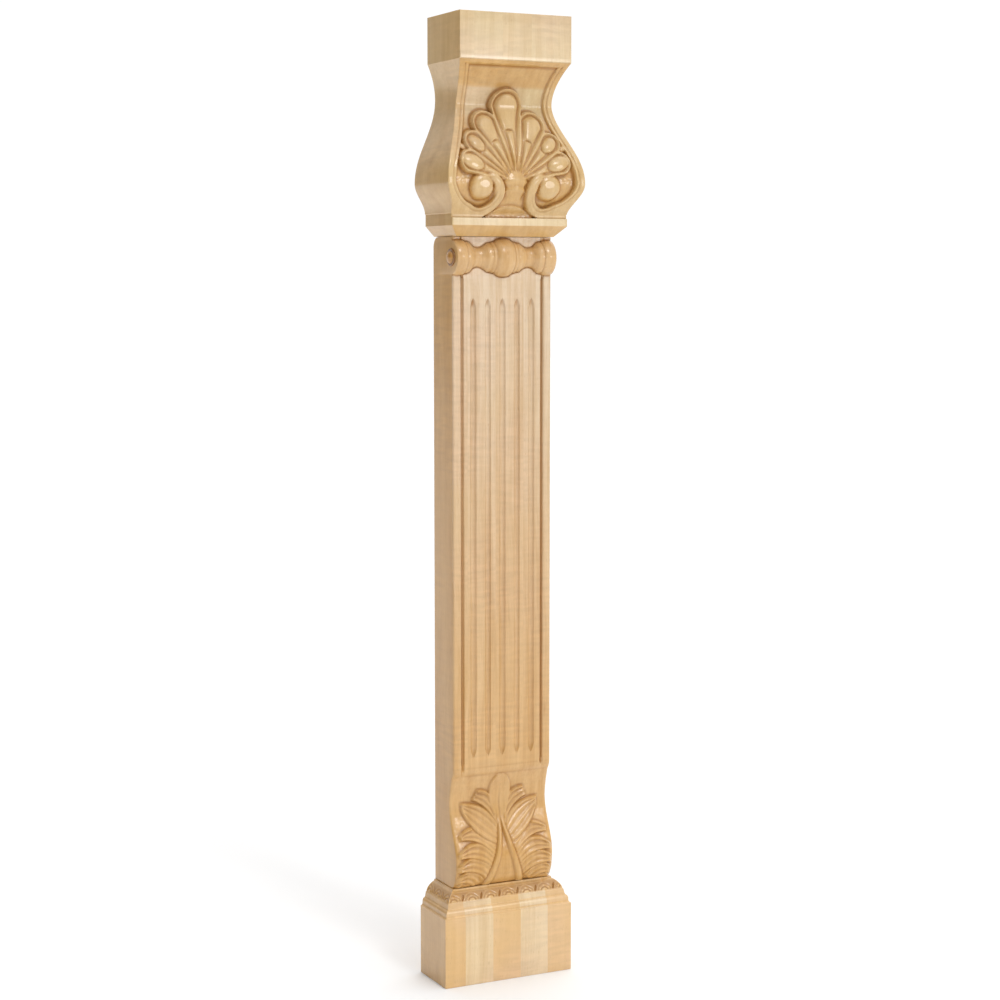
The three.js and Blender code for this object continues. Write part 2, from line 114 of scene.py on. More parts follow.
# The neck is set back most at z and narrowest a little higher; the powers say how fast the curves leave it.
NECK = {"z": 1110.0, "half": 66.4, "depth": 61.0, "narrow": 1118.0, "up_power": 1.6, "down_power": 0.85}
BELLY_Z = 1014.0
BODY = {"bottom": 976.0, "half": 80.8, "depth": 76.0, "power": 0.65}
BAND = {"top": 971.0, "bottom": 961.5, "half": 80.0, "depth": 78.5, "foot_half": 68.0, "foot_depth": 65.0}
PANEL_SUNK = {"neck": 4.0, "belly": 8.5, "top_gap": 4.4, "top_wall": 5.8}
# The border, by distance in from the outline: a flat strip, a cut groove, a bead and the wall to the panel.
BORDER = {
    "groove": 7.6, "groove_half": 1.2, "groove_depth": 1.7,
    "bead": 10.2, "bead_half": 1.9, "bead_sunk": 0.5, "bead_round": 1.1,
    "wall": 11.6, "inner": 13.2,
}
OUTLINE_SEARCH = {"reach": 17, "step": 0.5}

# Petals of the shell: degrees from upright, reach from the shell's foot, end radius and what fills it.
# A tongue starts at its distance from the foot; a pebble has its distance, half-length and half-width.
PETALS = [
    {"lean": 0.0, "reach": 117.0, "round": 23.0, "tongue": 66.0},
    {"lean": 24.3, "reach": 97.0, "round": 19.0, "tongue": 57.0},
    {"lean": 46.5, "reach": 87.0, "round": 15.5, "pebble": (68.5, 12.0, 8.0)},
    {"lean": 67.7, "reach": 82.0, "round": 16.0, "pebble": (63.5, 15.5, 9.3)},
]
SHELL = {"z": BELLY_Z, "lift": 5.6, "rim": 3.6, "rim_width": 5.4, "channel": 0.8, "wall": 1.7, "stem": 2.8}
TONGUE = {"inset": 6.4, "crown": 12.6, "low": 2.6, "high": 5.6, "short_of_end": 18, "bow": 3.0, "step": 1.4}
PEBBLE_RISE = 5.4
TIP = {"x": 68.5, "z": 1057.0, "long": 6.0, "wide": 4.2, "rise": 6.0, "across": 0.8, "up": 0.6}
# The scroll's spiral widens from the eye by the spread in one turn; turns are degrees from straight below.
# Going outwards, the strip leaves the spiral at one angle and lies along the outline by the other.
VOLUTE = {"x": 43.0, "z": 1006.0, "eye": 11.5, "spread": 23.5, "power": 1.3, "leave": 32.0, "follow": 88.0}
ROLLED_BAND = {"sunk": 0.2, "round": 3.4, "from": 35.0, "full": 100.0, "fade": 135.0, "end": 205.0}
EYE_PROUD = 0.9
# Radius of the round eye by degrees round from straight below: it swells where the band rolls into it.
EYE_TURN = [0, 110, 150, 185, 225, 270, 315, 360]
EYE_RADIUS = [12.5, 12.0, 16.5, 20.5, 20.5, 19.0, 16.0, 12.5]
# Width of the rolled band, likewise.
BAND_TURN = [0, 30, 60, 80, 100, 130, 170, 205]
BAND_WIDTH = [12.5, 12.5, 14.5, 15.2, 14.0, 11.5, 9.0, 8.0]
# The knot the shell springs from: half-width and height by level.
COLLAR_Z = [983, 988, 993, 998, 1002, 1005.5, 1008.5, 1011, 1014, 1017.5, 1021, 1027, 1034]
COLLAR_HALF = [19, 14.5, 12, 11, 12.5, 14.5, 13, 12.5, 14.5, 16.5, 15.5, 13, 11]
COLLAR_RISE = [1.6, 3.2, 3.9, 4.0, 4.8, 6.4, 5.2, 5.0, 5.8, 7.0, 5.6, 3.6, 0]
RING_SAG = {"drop": 3.5, "half": 16.0}
ARCH = {"top": 986.5, "fall": 14.0, "half": 33.0, "rise": 3.0, "width": 1.5, "plate": 5.6}
EDGE_SOFT = {"depth": 0.35, "width": 0.5}
GOUGE_DEPTH = {"capital": 0.14, "shaft": 0.05, "foot": 0.12}


def capital_half(z):
    """Half the capital's width: plain block, neck, belly, band and the slope under it."""
    return np.select(
        [z >= BLOCK["bottom"], z >= NECK["narrow"], z >= BELLY_Z, z >= BODY["bottom"], z >= BAND["bottom"]],
        [
            np.full_like(z, BLOCK["half"]),
            blend(NECK["half"], BLOCK["half"], share(z, NECK["narrow"], BLOCK["bottom"]) ** 2),
            blend(CAPITAL_HALF, NECK["half"], ease(share(z, BELLY_Z, NECK["narrow"]))),
            blend(BODY["half"], CAPITAL_HALF, ease(share(z, BODY["bottom"], BELLY_Z))),
            np.full_like(z, BAND["half"]),
        ],
        blend(BAND["foot_half"], BAND["half"], share(z, JOINT_Z, BAND["bottom"])),
    )


def capital_edge(z):
    """How far the strip along each side of the capital stands out."""
    return np.select(
        [z >= BLOCK["bottom"], z >= NECK["z"], z >= BELLY_Z, z >= BODY["bottom"], z >= BAND["top"],
         z >= BAND["bottom"]],
        [
            np.full_like(z, BLOCK["depth"]),
            blend(NECK["depth"], BLOCK["depth"], share(z, NECK["z"], BLOCK["bottom"]) ** NECK["up_power"]),
            blend(NECK["depth"], CAPITAL_FRONT, ease(share(z, NECK["z"], BELLY_Z) ** NECK["down_power"])),
            blend(BODY["depth"], CAPITAL_FRONT, ease(share(z, BODY["bottom"], BELLY_Z) ** BODY["power"])),
            np.full_like(z, BODY["depth"]),
            np.full_like(z, BAND["depth"]),
        ],
        blend(BAND["foot_depth"], BAND["depth"], share(z, JOINT_Z, BAND["bottom"])),
    )


def petal_fill(petal, along, across, inside, half):
    """The tongue or the pebble of one petal, and how far up the rib below it reaches."""
    if "tongue" in petal:
        fill = share(inside, TONGUE["inset"], TONGUE["crown"])
        crown = 1 - (1 - fill) ** 2.4
        step_at = petal["tongue"] - TONGUE["bow"] * (across / (0.5 * half + 0.1)) ** 2
        upper = ease(share(along, step_at, step_at + TONGUE["step"]))
        end = petal["reach"] - TONGUE["short_of_end"]
        tall = blend(TONGUE["low"], TONGUE["high"], share(along, petal["tongue"], end))
        return tall * crown * upper, petal["tongue"] - 1.5
    at, long, wide = petal["pebble"]
    pebble = PEBBLE_RISE * dome(np.hypot((along - at) / long, across / wide)) ** 0.75
    return pebble, at - long - 1.0


def one_petal(petal, along, across):
    """One petal over the panel: a raised wedge with a round end, rimmed, filled and ribbed."""
    centre = petal["reach"] - petal["round"]
    out = np.clip(along / centre, 0.0, 1.0)
    half = petal["round"] * out
    wedge = (half - np.abs(across)) * math.cos(math.atan(petal["round"] / centre))
    inside = np.where(along > centre, petal["round"] - np.hypot(along - centre, across), wedge)
    inside = np.where(along > 0, inside, -1.0)
    wall = ease(share(inside, 0.0, SHELL["wall"]))
    rim_width = np.minimum(SHELL["rim_width"], 0.42 * half + 0.05)
    r = np.clip(inside / rim_width, 0.0, 1.0)
    # The rim climbs fast on its outer side and falls away gently on its inner side.
    rim = np.where(r < 0.4, np.sin(np.pi / 2 * r / 0.4), np.cos(np.pi / 2 * (r - 0.4) / 0.6))
    fill, stem_top = petal_fill(petal, along, across, inside, half)
    body = np.maximum(SHELL["rim"] * (0.45 + 0.55 * out) * rim, fill)
    stem_half = half * blend(0.26, 0.36, share(along, 0.0, stem_top)) + 0.01
    stem_end = share(stem_top - along, -0.1, 5.0)
    stem = SHELL["stem"] * dome(across / stem_half) * dome(1 - stem_end)
    body = np.maximum(body, np.where(along < stem_top, stem, 0.0))
    height = (SHELL["lift"] * out**0.8 + SHELL["channel"]) * wall + body * wall
    height *= share(along, 2.0, 16.0)
    return np.where(inside > 0, height, 0.0)


def petal_rise(x, z):
    """The shell over the sunk panel: each petal at its lean, and its twin on the other side."""
    rise = np.zeros_like(x)
    for petal in PETALS:
        lean = math.radians(petal["lean"])
        for side in (-1, 1) if petal["lean"] else (1,):
            along = side * x * math.sin(lean) + (z - SHELL["z"]) * math.cos(lean)
            across = x * math.cos(lean) - side * (z - SHELL["z"]) * math.sin(lean)
            rise = np.maximum(rise, one_petal(petal, along, across))
    return rise


def from_outline(x, z):
    """Distance in from the nearest point of the serpentine side."""
    nearest = np.full_like(x, 1e9)
    for shift in steps(-OUTLINE_SEARCH["reach"], OUTLINE_SEARCH["reach"], OUTLINE_SEARCH["step"]):
        level = np.clip(z + shift, BODY["bottom"], BLOCK["bottom"] - 0.01)
        nearest = np.minimum(nearest, np.hypot(capital_half(level) - np.abs(x), level - z))
    return nearest


def strip_sunk(inset, deep):
    """How far the border lies below the front, across its width."""
    from_groove = np.abs(inset - BORDER["groove"])
    groove = BORDER["groove_depth"] * np.clip(1 - from_groove / BORDER["groove_half"], 0, 1)
    bead_fall = 1 - dome((inset - BORDER["bead"]) / BORDER["bead_half"])
    bead = BORDER["bead_sunk"] + BORDER["bead_round"] * bead_fall
    flat = np.where(inset > BORDER["groove"] + 0.9, bead, groove)
    wall = ease(share(inset, BORDER["wall"], BORDER["inner"]))
    outside = ease(share(inset, 0.0, -1.2))
    return blend(blend(flat, deep, wall), deep, outside)


def scroll_radius(turn):
    """The spiral's outer edge, widest straight below and closing on the eye in one turn."""
    return VOLUTE["eye"] + VOLUTE["spread"] * (np.clip(360.0 - turn, 0, 360.0) / 360.0) ** VOLUTE["power"]


def scroll_sunk(x, z, deep):
    """How far the border and its scroll lie behind the front: strip, rolled band and round eye."""
    a = VOLUTE["x"] - np.abs(x)
    b = VOLUTE["z"] - z
    radius = np.hypot(a, b)
    angle = np.degrees(np.arctan2(a, b))
    inset = from_outline(x, z)
    # Down the side the strip follows the outline, and under the eye it follows the spiral.
    lead = ease(share(-angle, VOLUTE["leave"], VOLUTE["follow"]))
    side = strip_sunk(np.maximum(blend(scroll_radius(0.0) - radius, inset, lead), 0.0), deep)
    sunk = np.where(angle < 0, side, deep)
    turn = np.where(angle < 0, angle + 360.0, angle)
    outer = scroll_radius(turn)
    width = np.interp(turn, BAND_TURN, BAND_WIDTH)
    q = (radius - (outer - width)) / width
    rolled = ROLLED_BAND["sunk"] + ROLLED_BAND["round"] * (1 - dome(2 * np.clip(q, 0, 1) - 1)) ** 1.1
    rolled = blend(deep, rolled, ease(share(q, -0.09, 0.04) * share(q, 1.09, 0.98)))
    stepped = strip_sunk(outer - radius, deep)
    band = blend(stepped, rolled, ease(share(turn, ROLLED_BAND["from"], ROLLED_BAND["full"])))
    band = blend(band, deep, ease(share(turn, ROLLED_BAND["fade"], ROLLED_BAND["end"])))
    sunk = np.where(turn < ROLLED_BAND["end"], np.minimum(sunk, band), sunk)
    # The band rolls over the top into a big round eye.
    ball = np.interp(turn, EYE_TURN, EYE_RADIUS)
    eye = deep - (deep + EYE_PROUD) * dome(radius / ball) ** 0.62
    return np.where(radius < ball, np.minimum(sunk, eye), sunk)


def collar_rise(x, z):
    """A waisted knot with two rings, and an arched ridge between the scrolls below it."""
    curved = z + RING_SAG["drop"] * (x / RING_SAG["half"]) ** 2
    half = np.interp(curved, COLLAR_Z, COLLAR_HALF)
    knot = np.interp(curved, COLLAR_Z, COLLAR_RISE, left=0.0, right=0.0) * dome(x / half) ** 0.8
    arch = ARCH["top"] - ARCH["fall"] * (x / ARCH["half"]) ** 2
    ridge = ARCH["rise"] * bump(z, arch, ARCH["width"]) * share(np.abs(x), 38.0, 26.0)
    above = 1.6 * share(z, arch, arch + 3.0) * share(z, arch + 17.0, arch + 6.0)
    above = above * share(np.abs(x), 26.0, 14.0)
    # Below the arch a plain plate fills the space between the scrolls.
    plate = ARCH["plate"] * ease(share(arch - z, -0.6, 0.9))
    return np.maximum(np.maximum(knot, ridge + above), plate)


def tip_rise(x, z):
    """The small hooked tip above each lowest petal."""
    out = np.abs(x) - TIP["x"]
    up = z - TIP["z"]
    along = out * TIP["across"] + up * TIP["up"]
    aside = -out * TIP["up"] + up * TIP["across"]
    return TIP["rise"] * dome(np.hypot(along / TIP["long"], aside / TIP["wide"])) ** 0.7


def panel_sunk(z):
    """How deep the panel lies behind its border, starting a little below the plain block."""
    deep = blend(PANEL_SUNK["neck"], PANEL_SUNK["belly"], ease(share(z, NECK["z"], BELLY_Z)))
    return deep * ease(share(BLOCK["bottom"] - z, PANEL_SUNK["top_gap"], PANEL_SUNK["top_wall"]))


def capital_front(x, z):
    """How far the carved front of the capital stands out."""
    deep = panel_sunk(z)
    raised = np.maximum(np.maximum(petal_rise(x, z), collar_rise(x, z)), tip_rise(x, z))
    sunk = np.minimum(scroll_sunk(x, z, deep), deep - raised)
    carved = (z < BLOCK["bottom"]) & (z > BAND["top"])
    gouged = sunk + GOUGE_DEPTH["capital"] * hand_wave(x, z, 7.0) * share(sunk, 1.0, 3.0)
    sunk = np.where(carved, gouged, 0.0)
    depth = capital_edge(z) - sunk
    # Softened edges where the plain block and band meet the carving.
    for level in (BLOCK["bottom"], BAND["top"]):
        depth = depth - EDGE_SOFT["depth"] * bump(z, level + 0.1, EDGE_SOFT["width"]) * (z >= level - 0.02)
    return np.minimum(depth, CAPITAL_FRONT - 0.15)


# ---------- shaft ----------

SHAFT_LOW, SHAFT_HIGH = box_mm("shaft")
SHAFT_HALF = SHAFT_HIGH[0]
SHAFT_CREST = 57.5
PANEL_DEPTH = 56.0
EDGE_BEAD = {"width": 12.0, "rise": 4.5}
SIDE_GROOVE = {"x": 55.6, "width": 3.2, "depth": 3.4, "bottom": 271.0, "top": 901.0, "taper": 6.0}
FLUTE = {"count": 5, "pitch": 20.4, "width": 8.0, "depth": 3.0, "bottom": 290.0, "top": 872.0, "taper": 12.0}
ROLL_Z = 922.6
ROLL_DEPTH = 48.5
DISC = {"inner": 54.0, "edge": 21.5, "crown": 2.1}
BACK_CORNER = 13.0
# Radius of the roll by distance from its middle: bead, fillets, slender neck, flared end.
ROLL_AT = [0, 5, 8, 10, 12, 13.5, 15, 16.5, 18, 20, 23, 27, 31, 35, 38, 40, 42, 44, 46, 48, 50, 53.4, 54]
ROLL_RADIUS = [
    25.5, 25.1, 24.3, 23.3, 21.7, 20.7, 21.0, 20.5, 19.6, 19.7, 19.2, 16.6,
    14.6, 14.0, 14.2, 14.8, 15.9, 17.7, 19.5, 20.6, 21.2, 21.2, 20.0,
]

FOOT = {"top": 276.0, "neck_z": 228.0, "neck": 44.0, "toe_z": 156.0, "toe": 65.0, "heel": 50.0}
LEAF = {"tip": 264.5, "widest": 241.0, "fork": 192.0, "bottom": 123.0, "half": 16.5, "waist": 6.0}
SPOON_VEIN = {"depth": 0.34, "half": 1.2}
STEMS = {"part": 200.0, "close": 2.8, "spread": 21.0, "thick": 5.6, "thin": 2.4, "rise": 3.7, "line": 1.45}
# Each side lobe lies between an upper and a lower curve: where it leaves the stem, its bend and its tip.
# The lowest comes first, and each lies over the one before it. Last are its inner veins, -1 to 1 across.
LOBES = [
    (((44, 119), (56, 142), (68, 120)), ((54, 117), (60, 127), (66, 118)), (0.0,)),
    (((29, 132), (50, 162), (69, 133)), ((42, 119), (54, 134), (68, 127)), (0.0,)),
    (((19, 147), (43, 180), (68.5, 150)), ((27, 131), (42, 147), (68, 144)), (0.0,)),
    (((13, 160), (39, 197), (67, 167)), ((18, 145), (36, 165), (66, 162)), (0.0,)),
    (((8, 175), (35, 215), (63, 189)), ((12, 158), (34, 186), (62, 184)), (0.0,)),
    (((5, 198), (17, 231), (56, 229)), ((8, 174), (46, 188), (54, 221)), (-0.34, 0.20)),
    (((3, 207), (8, 248), (33, 245)), ((5, 196), (15, 222), (40, 232)), (0.0,)),
]
LOBE = {"floor": 0.6, "body": 0.28, "root": 1.9, "swell": 3.1, "vein": 0.45, "vein_half": 0.12}
# The map that holds the lobes' heights: its cell, the x and z it starts from, and its cells across and up.
MAP_CELL = 0.4
MAP_FROM = (0.0, 116.0)
MAP_SIZE = (190, 400)


def cut(x, z, groove, at, face):
    """Depth left by a round-bottomed groove whose ends come to a point."""
    end = np.minimum(z - groove["bottom"], groove["top"] - z)
    full = np.clip(end / groove["taper"], 0.0, 1.0)
    half = groove["width"] / 2 * (1 - (1 - full) ** 1.8) + 1e-6
    return face - groove["depth"] * dome((x - at) / half) * dome(1 - full) * (end > 0)


def roll_front(x, z):
    """How far the roll stands out, and how far inside its outline a point is."""
    away = np.abs(x)
    radius = np.interp(away, ROLL_AT, ROLL_RADIUS)
    middle = (DISC["inner"] + SHAFT_HALF) / 2
    disc = DISC["edge"] + DISC["crown"] * dome((away - middle) / ((SHAFT_HALF - DISC["inner"]) / 2))
    radius = np.where(away > DISC["inner"], disc, radius)
    up = np.abs(z - ROLL_Z)
    return ROLL_DEPTH + np.sqrt(np.clip(radius**2 - up**2, 0.0, None)), radius - up


def foot_depth(z):
    """The scrolled foot in profile: set-back neck, swelling calf and rounded toe."""
    neck = blend(FOOT["neck"], PANEL_DEPTH, share(z, FOOT["neck_z"], FOOT["top"]) ** 1.6)
    calf = blend(FOOT["toe"], FOOT["neck"], ease(share(z, FOOT["toe_z"], FOOT["neck_z"])))
    toe = blend(FOOT["heel"], FOOT["toe"], dome(1 - share(z, SHAFT_LOW[2] - 0.3, FOOT["toe_z"])))
    return np.select([z >= FOOT["neck_z"], z >= FOOT["toe_z"]], [neck, calf], toe)


def bezier(points, t):
    """Points along the curve from its root to its end, drawn towards its bend."""
    root, bend, end = (np.array(point, float)[:, None] for point in points)
    return root * (1 - t) ** 2 + 2 * bend * t * (1 - t) + end * t * t


def smoothed(field):
    """Each height averaged with its neighbours, along both axes."""
    for axis in (0, 1):
        count = field.shape[axis]
        before = np.take(field, np.maximum(np.arange(count) - 1, 0), axis)
        after = np.take(field, np.minimum(np.arange(count) + 1, count - 1), axis)
        field = (before + 2 * field + after) / 4
    return field


def leaf_map():
    """Heights of the side lobes on a fine map: each is ruled between its two curves, ridged and hollowed."""
    heights = np.zeros(MAP_SIZE)
    t, s = np.meshgrid(np.linspace(0, 1, 320), np.linspace(0, 1, 120), indexing="ij")
    t, s = t.ravel(), s.ravel()
    q = 2 * s - 1
    edges = 0.85 * bump(q, -0.78, 0.17) + 0.60 * bump(q, 0.72, 0.18)
    wall = ease(share(np.abs(q), 1.0, 0.86)) * ease(share(t, 1.0, 0.96))
    for upper, lower, veins in LOBES:
        ridges = edges + LOBE["vein"] * sum(bump(q, vein, LOBE["vein_half"]) for vein in veins)
        height = (LOBE["floor"] + (LOBE["body"] + ridges) * (LOBE["root"] + LOBE["swell"] * t)) * wall
        x, z = bezier(upper, t) * (1 - s) + bezier(lower, t) * s
        across = np.rint((x - MAP_FROM[0]) / MAP_CELL).astype(int)
        up = np.rint((z - MAP_FROM[1]) / MAP_CELL).astype(int)
        inside = (across >= 0) & (up >= 0) & (across < MAP_SIZE[0]) & (up < MAP_SIZE[1])
        lobe = np.full(MAP_SIZE, -1.0)
        np.maximum.at(lobe, (across[inside], up[inside]), height[inside])
        heights = np.where(lobe >= 0, lobe, heights)
    return smoothed(heights)


LOBE_HEIGHTS = leaf_map()


def lobe_rise(x, z):
    """The side lobes' height, read between the cells of their map."""
    u = np.clip((np.abs(x) - MAP_FROM[0]) / MAP_CELL, 0, MAP_SIZE[0] - 1.001)
    v = np.clip((z - MAP_FROM[1]) / MAP_CELL, 0, MAP_SIZE[1] - 1.001)
    i, j = u.astype(int), v.astype(int)
    fu, fv = u - i, v - j
    low = LOBE_HEIGHTS[i, j] * (1 - fu) + LOBE_HEIGHTS[i + 1, j] * fu
    high = LOBE_HEIGHTS[i, j + 1] * (1 - fu) + LOBE_HEIGHTS[i + 1, j + 1] * fu
    return low * (1 - fv) + high * fv


def leaf_rise(x, z):
    """The leaf over the foot: side lobes, then the middle lobe, then the parting stems."""
    away = np.abs(x)
    rise = lobe_rise(x, z) * (z < 262)
    # The middle lobe stands in front of the upper side lobes: a round-topped spoon with a vein.
    above = LEAF["half"] * dome((z - LEAF["widest"]) / (LEAF["tip"] - LEAF["widest"]))
    below = blend(LEAF["waist"], LEAF["half"], ease(share(z, LEAF["fork"], LEAF["widest"])))
    half = np.where(z > LEAF["widest"], above, below) + 0.01
    q = away / half
    up = share(z, LEAF["fork"], LEAF["tip"])
    vein = SPOON_VEIN["depth"] * bump(x, 0.0, SPOON_VEIN["half"]) * share(z, 256.0, 236.0)
    spoon = 0.40 + 0.60 * np.clip(q / 0.84, 0, 1) ** 2.2 - vein
    middle = (0.6 + 3.2 * spoon * blend(1.0, 0.55, up)) * ease(share(q, 1.0, 0.84)) * share(up, 0.0, 0.08)
    inside = (q < 1) & (z > LEAF["fork"]) & (z < LEAF["tip"])
    rise = np.where(inside, np.maximum(rise * share(q, 0.7, 1.0), middle), rise)
    # Two stems part downwards from the leaf's waist, each between a pair of cut lines.
    spread = STEMS["close"] + STEMS["spread"] * (1 - share(z, LEAF["bottom"], STEMS["part"])) ** 1.35
    stem_half = blend(STEMS["thick"], STEMS["thin"], share(z, LEAF["bottom"], 205.0))
    s = (away - spread) / stem_half
    stem = STEMS["rise"] * dome(s) ** 0.7 * ease(share(z, 222.0, 190.0))
    line = share(np.abs(s), 1.0, STEMS["line"])
    near = (np.abs(s) < STEMS["line"]) & (z < 214)
    rise = np.where(near, np.maximum(rise * blend(1.0, line, share(z, 214.0, 196.0)), stem), rise)
    between = (s < -1) & (z < 180)
    plain = 1.5 * dome(x / (spread + 0.1)) * share(z, 180.0, 158.0)
    return np.where(between, plain, rise)


def shaft_front(x, z):
    """How far the shaft's front stands out: beaded edges, flutes, roll and foot."""
    away = np.abs(x)
    inner = SHAFT_HALF - EDGE_BEAD["width"]
    crown = dome(2 * np.clip((away - inner) / EDGE_BEAD["width"], 0, 1) - 1)
    depth = np.where(away > inner, SHAFT_CREST - EDGE_BEAD["rise"] * (1 - crown), PANEL_DEPTH)
    depth = depth + GOUGE_DEPTH["shaft"] * hand_wave(x, z, 34.0) * (away < inner)
    for k in range(FLUTE["count"]):
        at = (k - (FLUTE["count"] - 1) / 2) * FLUTE["pitch"]
        depth = np.minimum(depth, cut(x, z, FLUTE, at, PANEL_DEPTH))
    for side in (-1, 1):
        depth = np.minimum(depth, cut(x, z, SIDE_GROOVE, side * SIDE_GROOVE["x"], PANEL_DEPTH))
    # The roll, with a hand-cut line round it.
    roll, margin = roll_front(x, z)
    ragged = 0.5 * hand_wave(x, z, 3.1) + 0.25 * hand_wave(x, z, 1.7)
    rim_line = 0.9 * bump(roll - PANEL_DEPTH + 0.4 * ragged, -0.6, 1.6) * (margin > -3) * (away < inner)
    stipple = 0.22 * (hand_wave(x, z, 2.4) - 0.3) * share(z, 896.0, 901.0) * (away < inner)
    depth = np.where((margin > 0) & (roll > depth), roll, depth + stipple - rim_line * (z > 890))
    # The scrolled foot and its leaf.
    edge_fall = 3.0 * (1 - dome(share(away, SHAFT_HALF - 5, SHAFT_HALF)))
    fade = share(away, SHAFT_HALF - 1.0, SHAFT_HALF - 6.0)
    foot = foot_depth(z) - edge_fall + leaf_rise(x, z) * fade
    foot = foot + GOUGE_DEPTH["foot"] * hand_wave(x, z, 9.0)
    lower = ease(share(z, FOOT["top"] + 1.0, 262.0))
    depth = blend(depth, foot, lower)
    return depth - 0.45 * bump(z, 265.5, 1.6) * share(away, SHAFT_HALF, SHAFT_HALF - 4)


# ---------- base ----------

BASE_LOW, BASE_HIGH = box_mm("base")
BASE_HALF = BASE_HIGH[0]
BASE_DEPTH = BACK - BASE_LOW[1]
BASE_TOP = BASE_HIGH[2]
# The moulding: how far it steps in from the plinth's face, by height.
MOULD_Z = [
    0, 0.8, 89.0, 89.5, 90.3, 91.8, 93.4, 96, 98.4, 99.8,
    101, 106.4, 107.2, 109.5, 112.5, 116, 118.6, 119.6, 121.8,
]
MOULD_IN = [0.8, 0, 0, 0.9, 2.0, 2.6, 2.6, 2.7, 3.8, 5.8, 6.3, 7.3, 8.3, 8.8, 10.3, 13.4, 16.7, 19, 19.6]
LEAF_ROW = {"pitch": 26.0, "first": -9.0, "bottom": 107.6, "top": 119.4}
NICK = {"depth": 3.4, "half": 2.1, "slant": 0.42, "from": 3.0}
CORNER_FILLET = 0.7


def leaf_row_cut(s, z, fade):
    """Small carved fans along the moulding, parted by slanting nicks."""
    pitch = LEAF_ROW["pitch"]
    at = (s - LEAF_ROW["first"]) / pitch
    from_nick = (at - np.rint(at)) * pitch
    up = z - LEAF_ROW["bottom"]
    tall = LEAF_ROW["top"] - LEAF_ROW["bottom"]
    lean = from_nick - NICK["slant"] * (up - NICK["from"])
    nick = NICK["depth"] * np.clip(1 - np.abs(lean) / NICK["half"], 0, 1)
    nick = nick * share(up, 0.0, 1.5) * share(up, 10.0, 5.0)
    from_fan = (at - np.floor(at) - 0.5) * pitch
    radius = np.hypot(from_fan, 1.15 * (up + 0.4))
    spoke = np.abs(np.sin(3.0 * np.arctan2(from_fan, up + 0.4)))
    arcs = 1.35 * bump(radius, 5.0, 0.9) + 1.1 * bump(radius, 9.4, 1.1)
    hollows = 0.7 * spoke * share(radius, 5.0, 6.5) * share(radius, 9.5, 8.0)
    dart = -0.4 * share(radius, 4.0, 1.5)
    outer = 0.9 * share(radius, 9.5, 12.5)
    fan = (arcs + hollows + dart + outer) * share(up, 0.0, 1.2) * share(up, tall, tall - 2.5)
    return np.maximum(nick, fan) * fade


# ---------- building the pieces ----------

SMOOTH_ANGLE = 38
BUTTON_SMOOTH_ANGLE = 40
HOLLOW_REACH = 4
HOLLOW_FULL = 1.2
# How dark the sawn sides are painted: painted shade on the sides.
SIDE_PAINTED_SHADE = 0.2


def grid_piece(name, columns, rows):
    """A flat grid from -1 to 1, with each point's column and row."""
    bpy.ops.object.select_all(action="DESELECT")
    bpy.ops.mesh.primitive_grid_add(x_subdivisions=columns - 1, y_subdivisions=rows - 1, size=2)
    piece = bpy.context.active_object
    piece.name = name
    piece.data.name = name
    flat = np.empty(len(piece.data.vertices) * 3)
    piece.data.vertices.foreach_get("co", flat)
    flat = flat.reshape(-1, 3)
    column = np.rint((flat[:, 0] + 1) / 2 * (columns - 1)).astype(int)
    row = np.rint((flat[:, 1] + 1) / 2 * (rows - 1)).astype(int)
    return piece, column, row


def set_points(piece, x, y, z):
    """Moves every point of a piece to its place, given in millimetres."""
    points = np.stack([x, y, z], axis=1) * MM
    piece.data.vertices.foreach_set("co", points.astype(np.float32).ravel())
    piece.data.update()


def set_shade(piece, name, values):
    """Keeps a value for each point, for the finish to read."""
    layer = piece.data.attributes.new(name, "FLOAT", "POINT")
    layer.data.foreach_set("value", values.astype(np.float32))


def close_behind(piece, back_at, end_levels):
    """Carries the rim of the front straight back, and closes the back row by row and then the ends."""
    bpy.ops.object.mode_set(mode="EDIT")
    bpy.ops.mesh.select_all(action="SELECT")
    bpy.ops.mesh.region_to_loop()
    bpy.ops.mesh.extrude_edges_move()
    mesh = bmesh.from_edit_mesh(piece.data)
    ring = [v for v in mesh.verts if v.select]
    for vert in ring:
        vert.co.y = back_at(vert.co.z / MM) * MM
    sides = [e for e in mesh.edges if e.select and abs(e.verts[0].co.z - e.verts[1].co.z) > 1e-7]
    low, high = (level * MM for level in end_levels)
    for face in mesh.faces:
        face.select_set(False)
    for edge in mesh.edges:
        edge.select_set(False)
    for edge in sides:
        heights = [v.co.z for v in edge.verts]
        if min(heights) > low + 1e-7 and max(heights) < high - 1e-7:
            edge.select_set(True)
    mesh.select_flush_mode()
    bmesh.update_edit_mesh(piece.data)
    bpy.ops.mesh.bridge_edge_loops()
    bpy.ops.mesh.select_all(action="SELECT")
    bpy.ops.mesh.fill_holes(sides=0)
    bpy.ops.mesh.select_all(action="SELECT")
    bpy.ops.mesh.normals_make_consistent(inside=False)
    bpy.ops.object.mode_set(mode="OBJECT")


def finish_surface(piece):
    """Smooth shading that keeps the sharp edges, on a piece that belongs to the one body."""
    bpy.ops.object.shade_smooth_by_angle(angle=math.radians(SMOOTH_ANGLE))
    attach(piece, "root")


def hollowness(relief):
    """How far each point lies below its surroundings, from 0 on open faces to 1 in cut lines."""
    near = relief
    window = 2 * HOLLOW_REACH + 1
    for axis in (0, 1):
        pad = [(0, 0), (0, 0)]
        pad[axis] = (HOLLOW_REACH, HOLLOW_REACH)
        wide = np.pad(near, pad, mode="edge")
        count = near.shape[axis]
        near = sum(np.take(wide, range(k, k + count), axis=axis) for k in range(window)) / window
    return np.clip((near - relief) / HOLLOW_FULL, 0.0, 1.0)


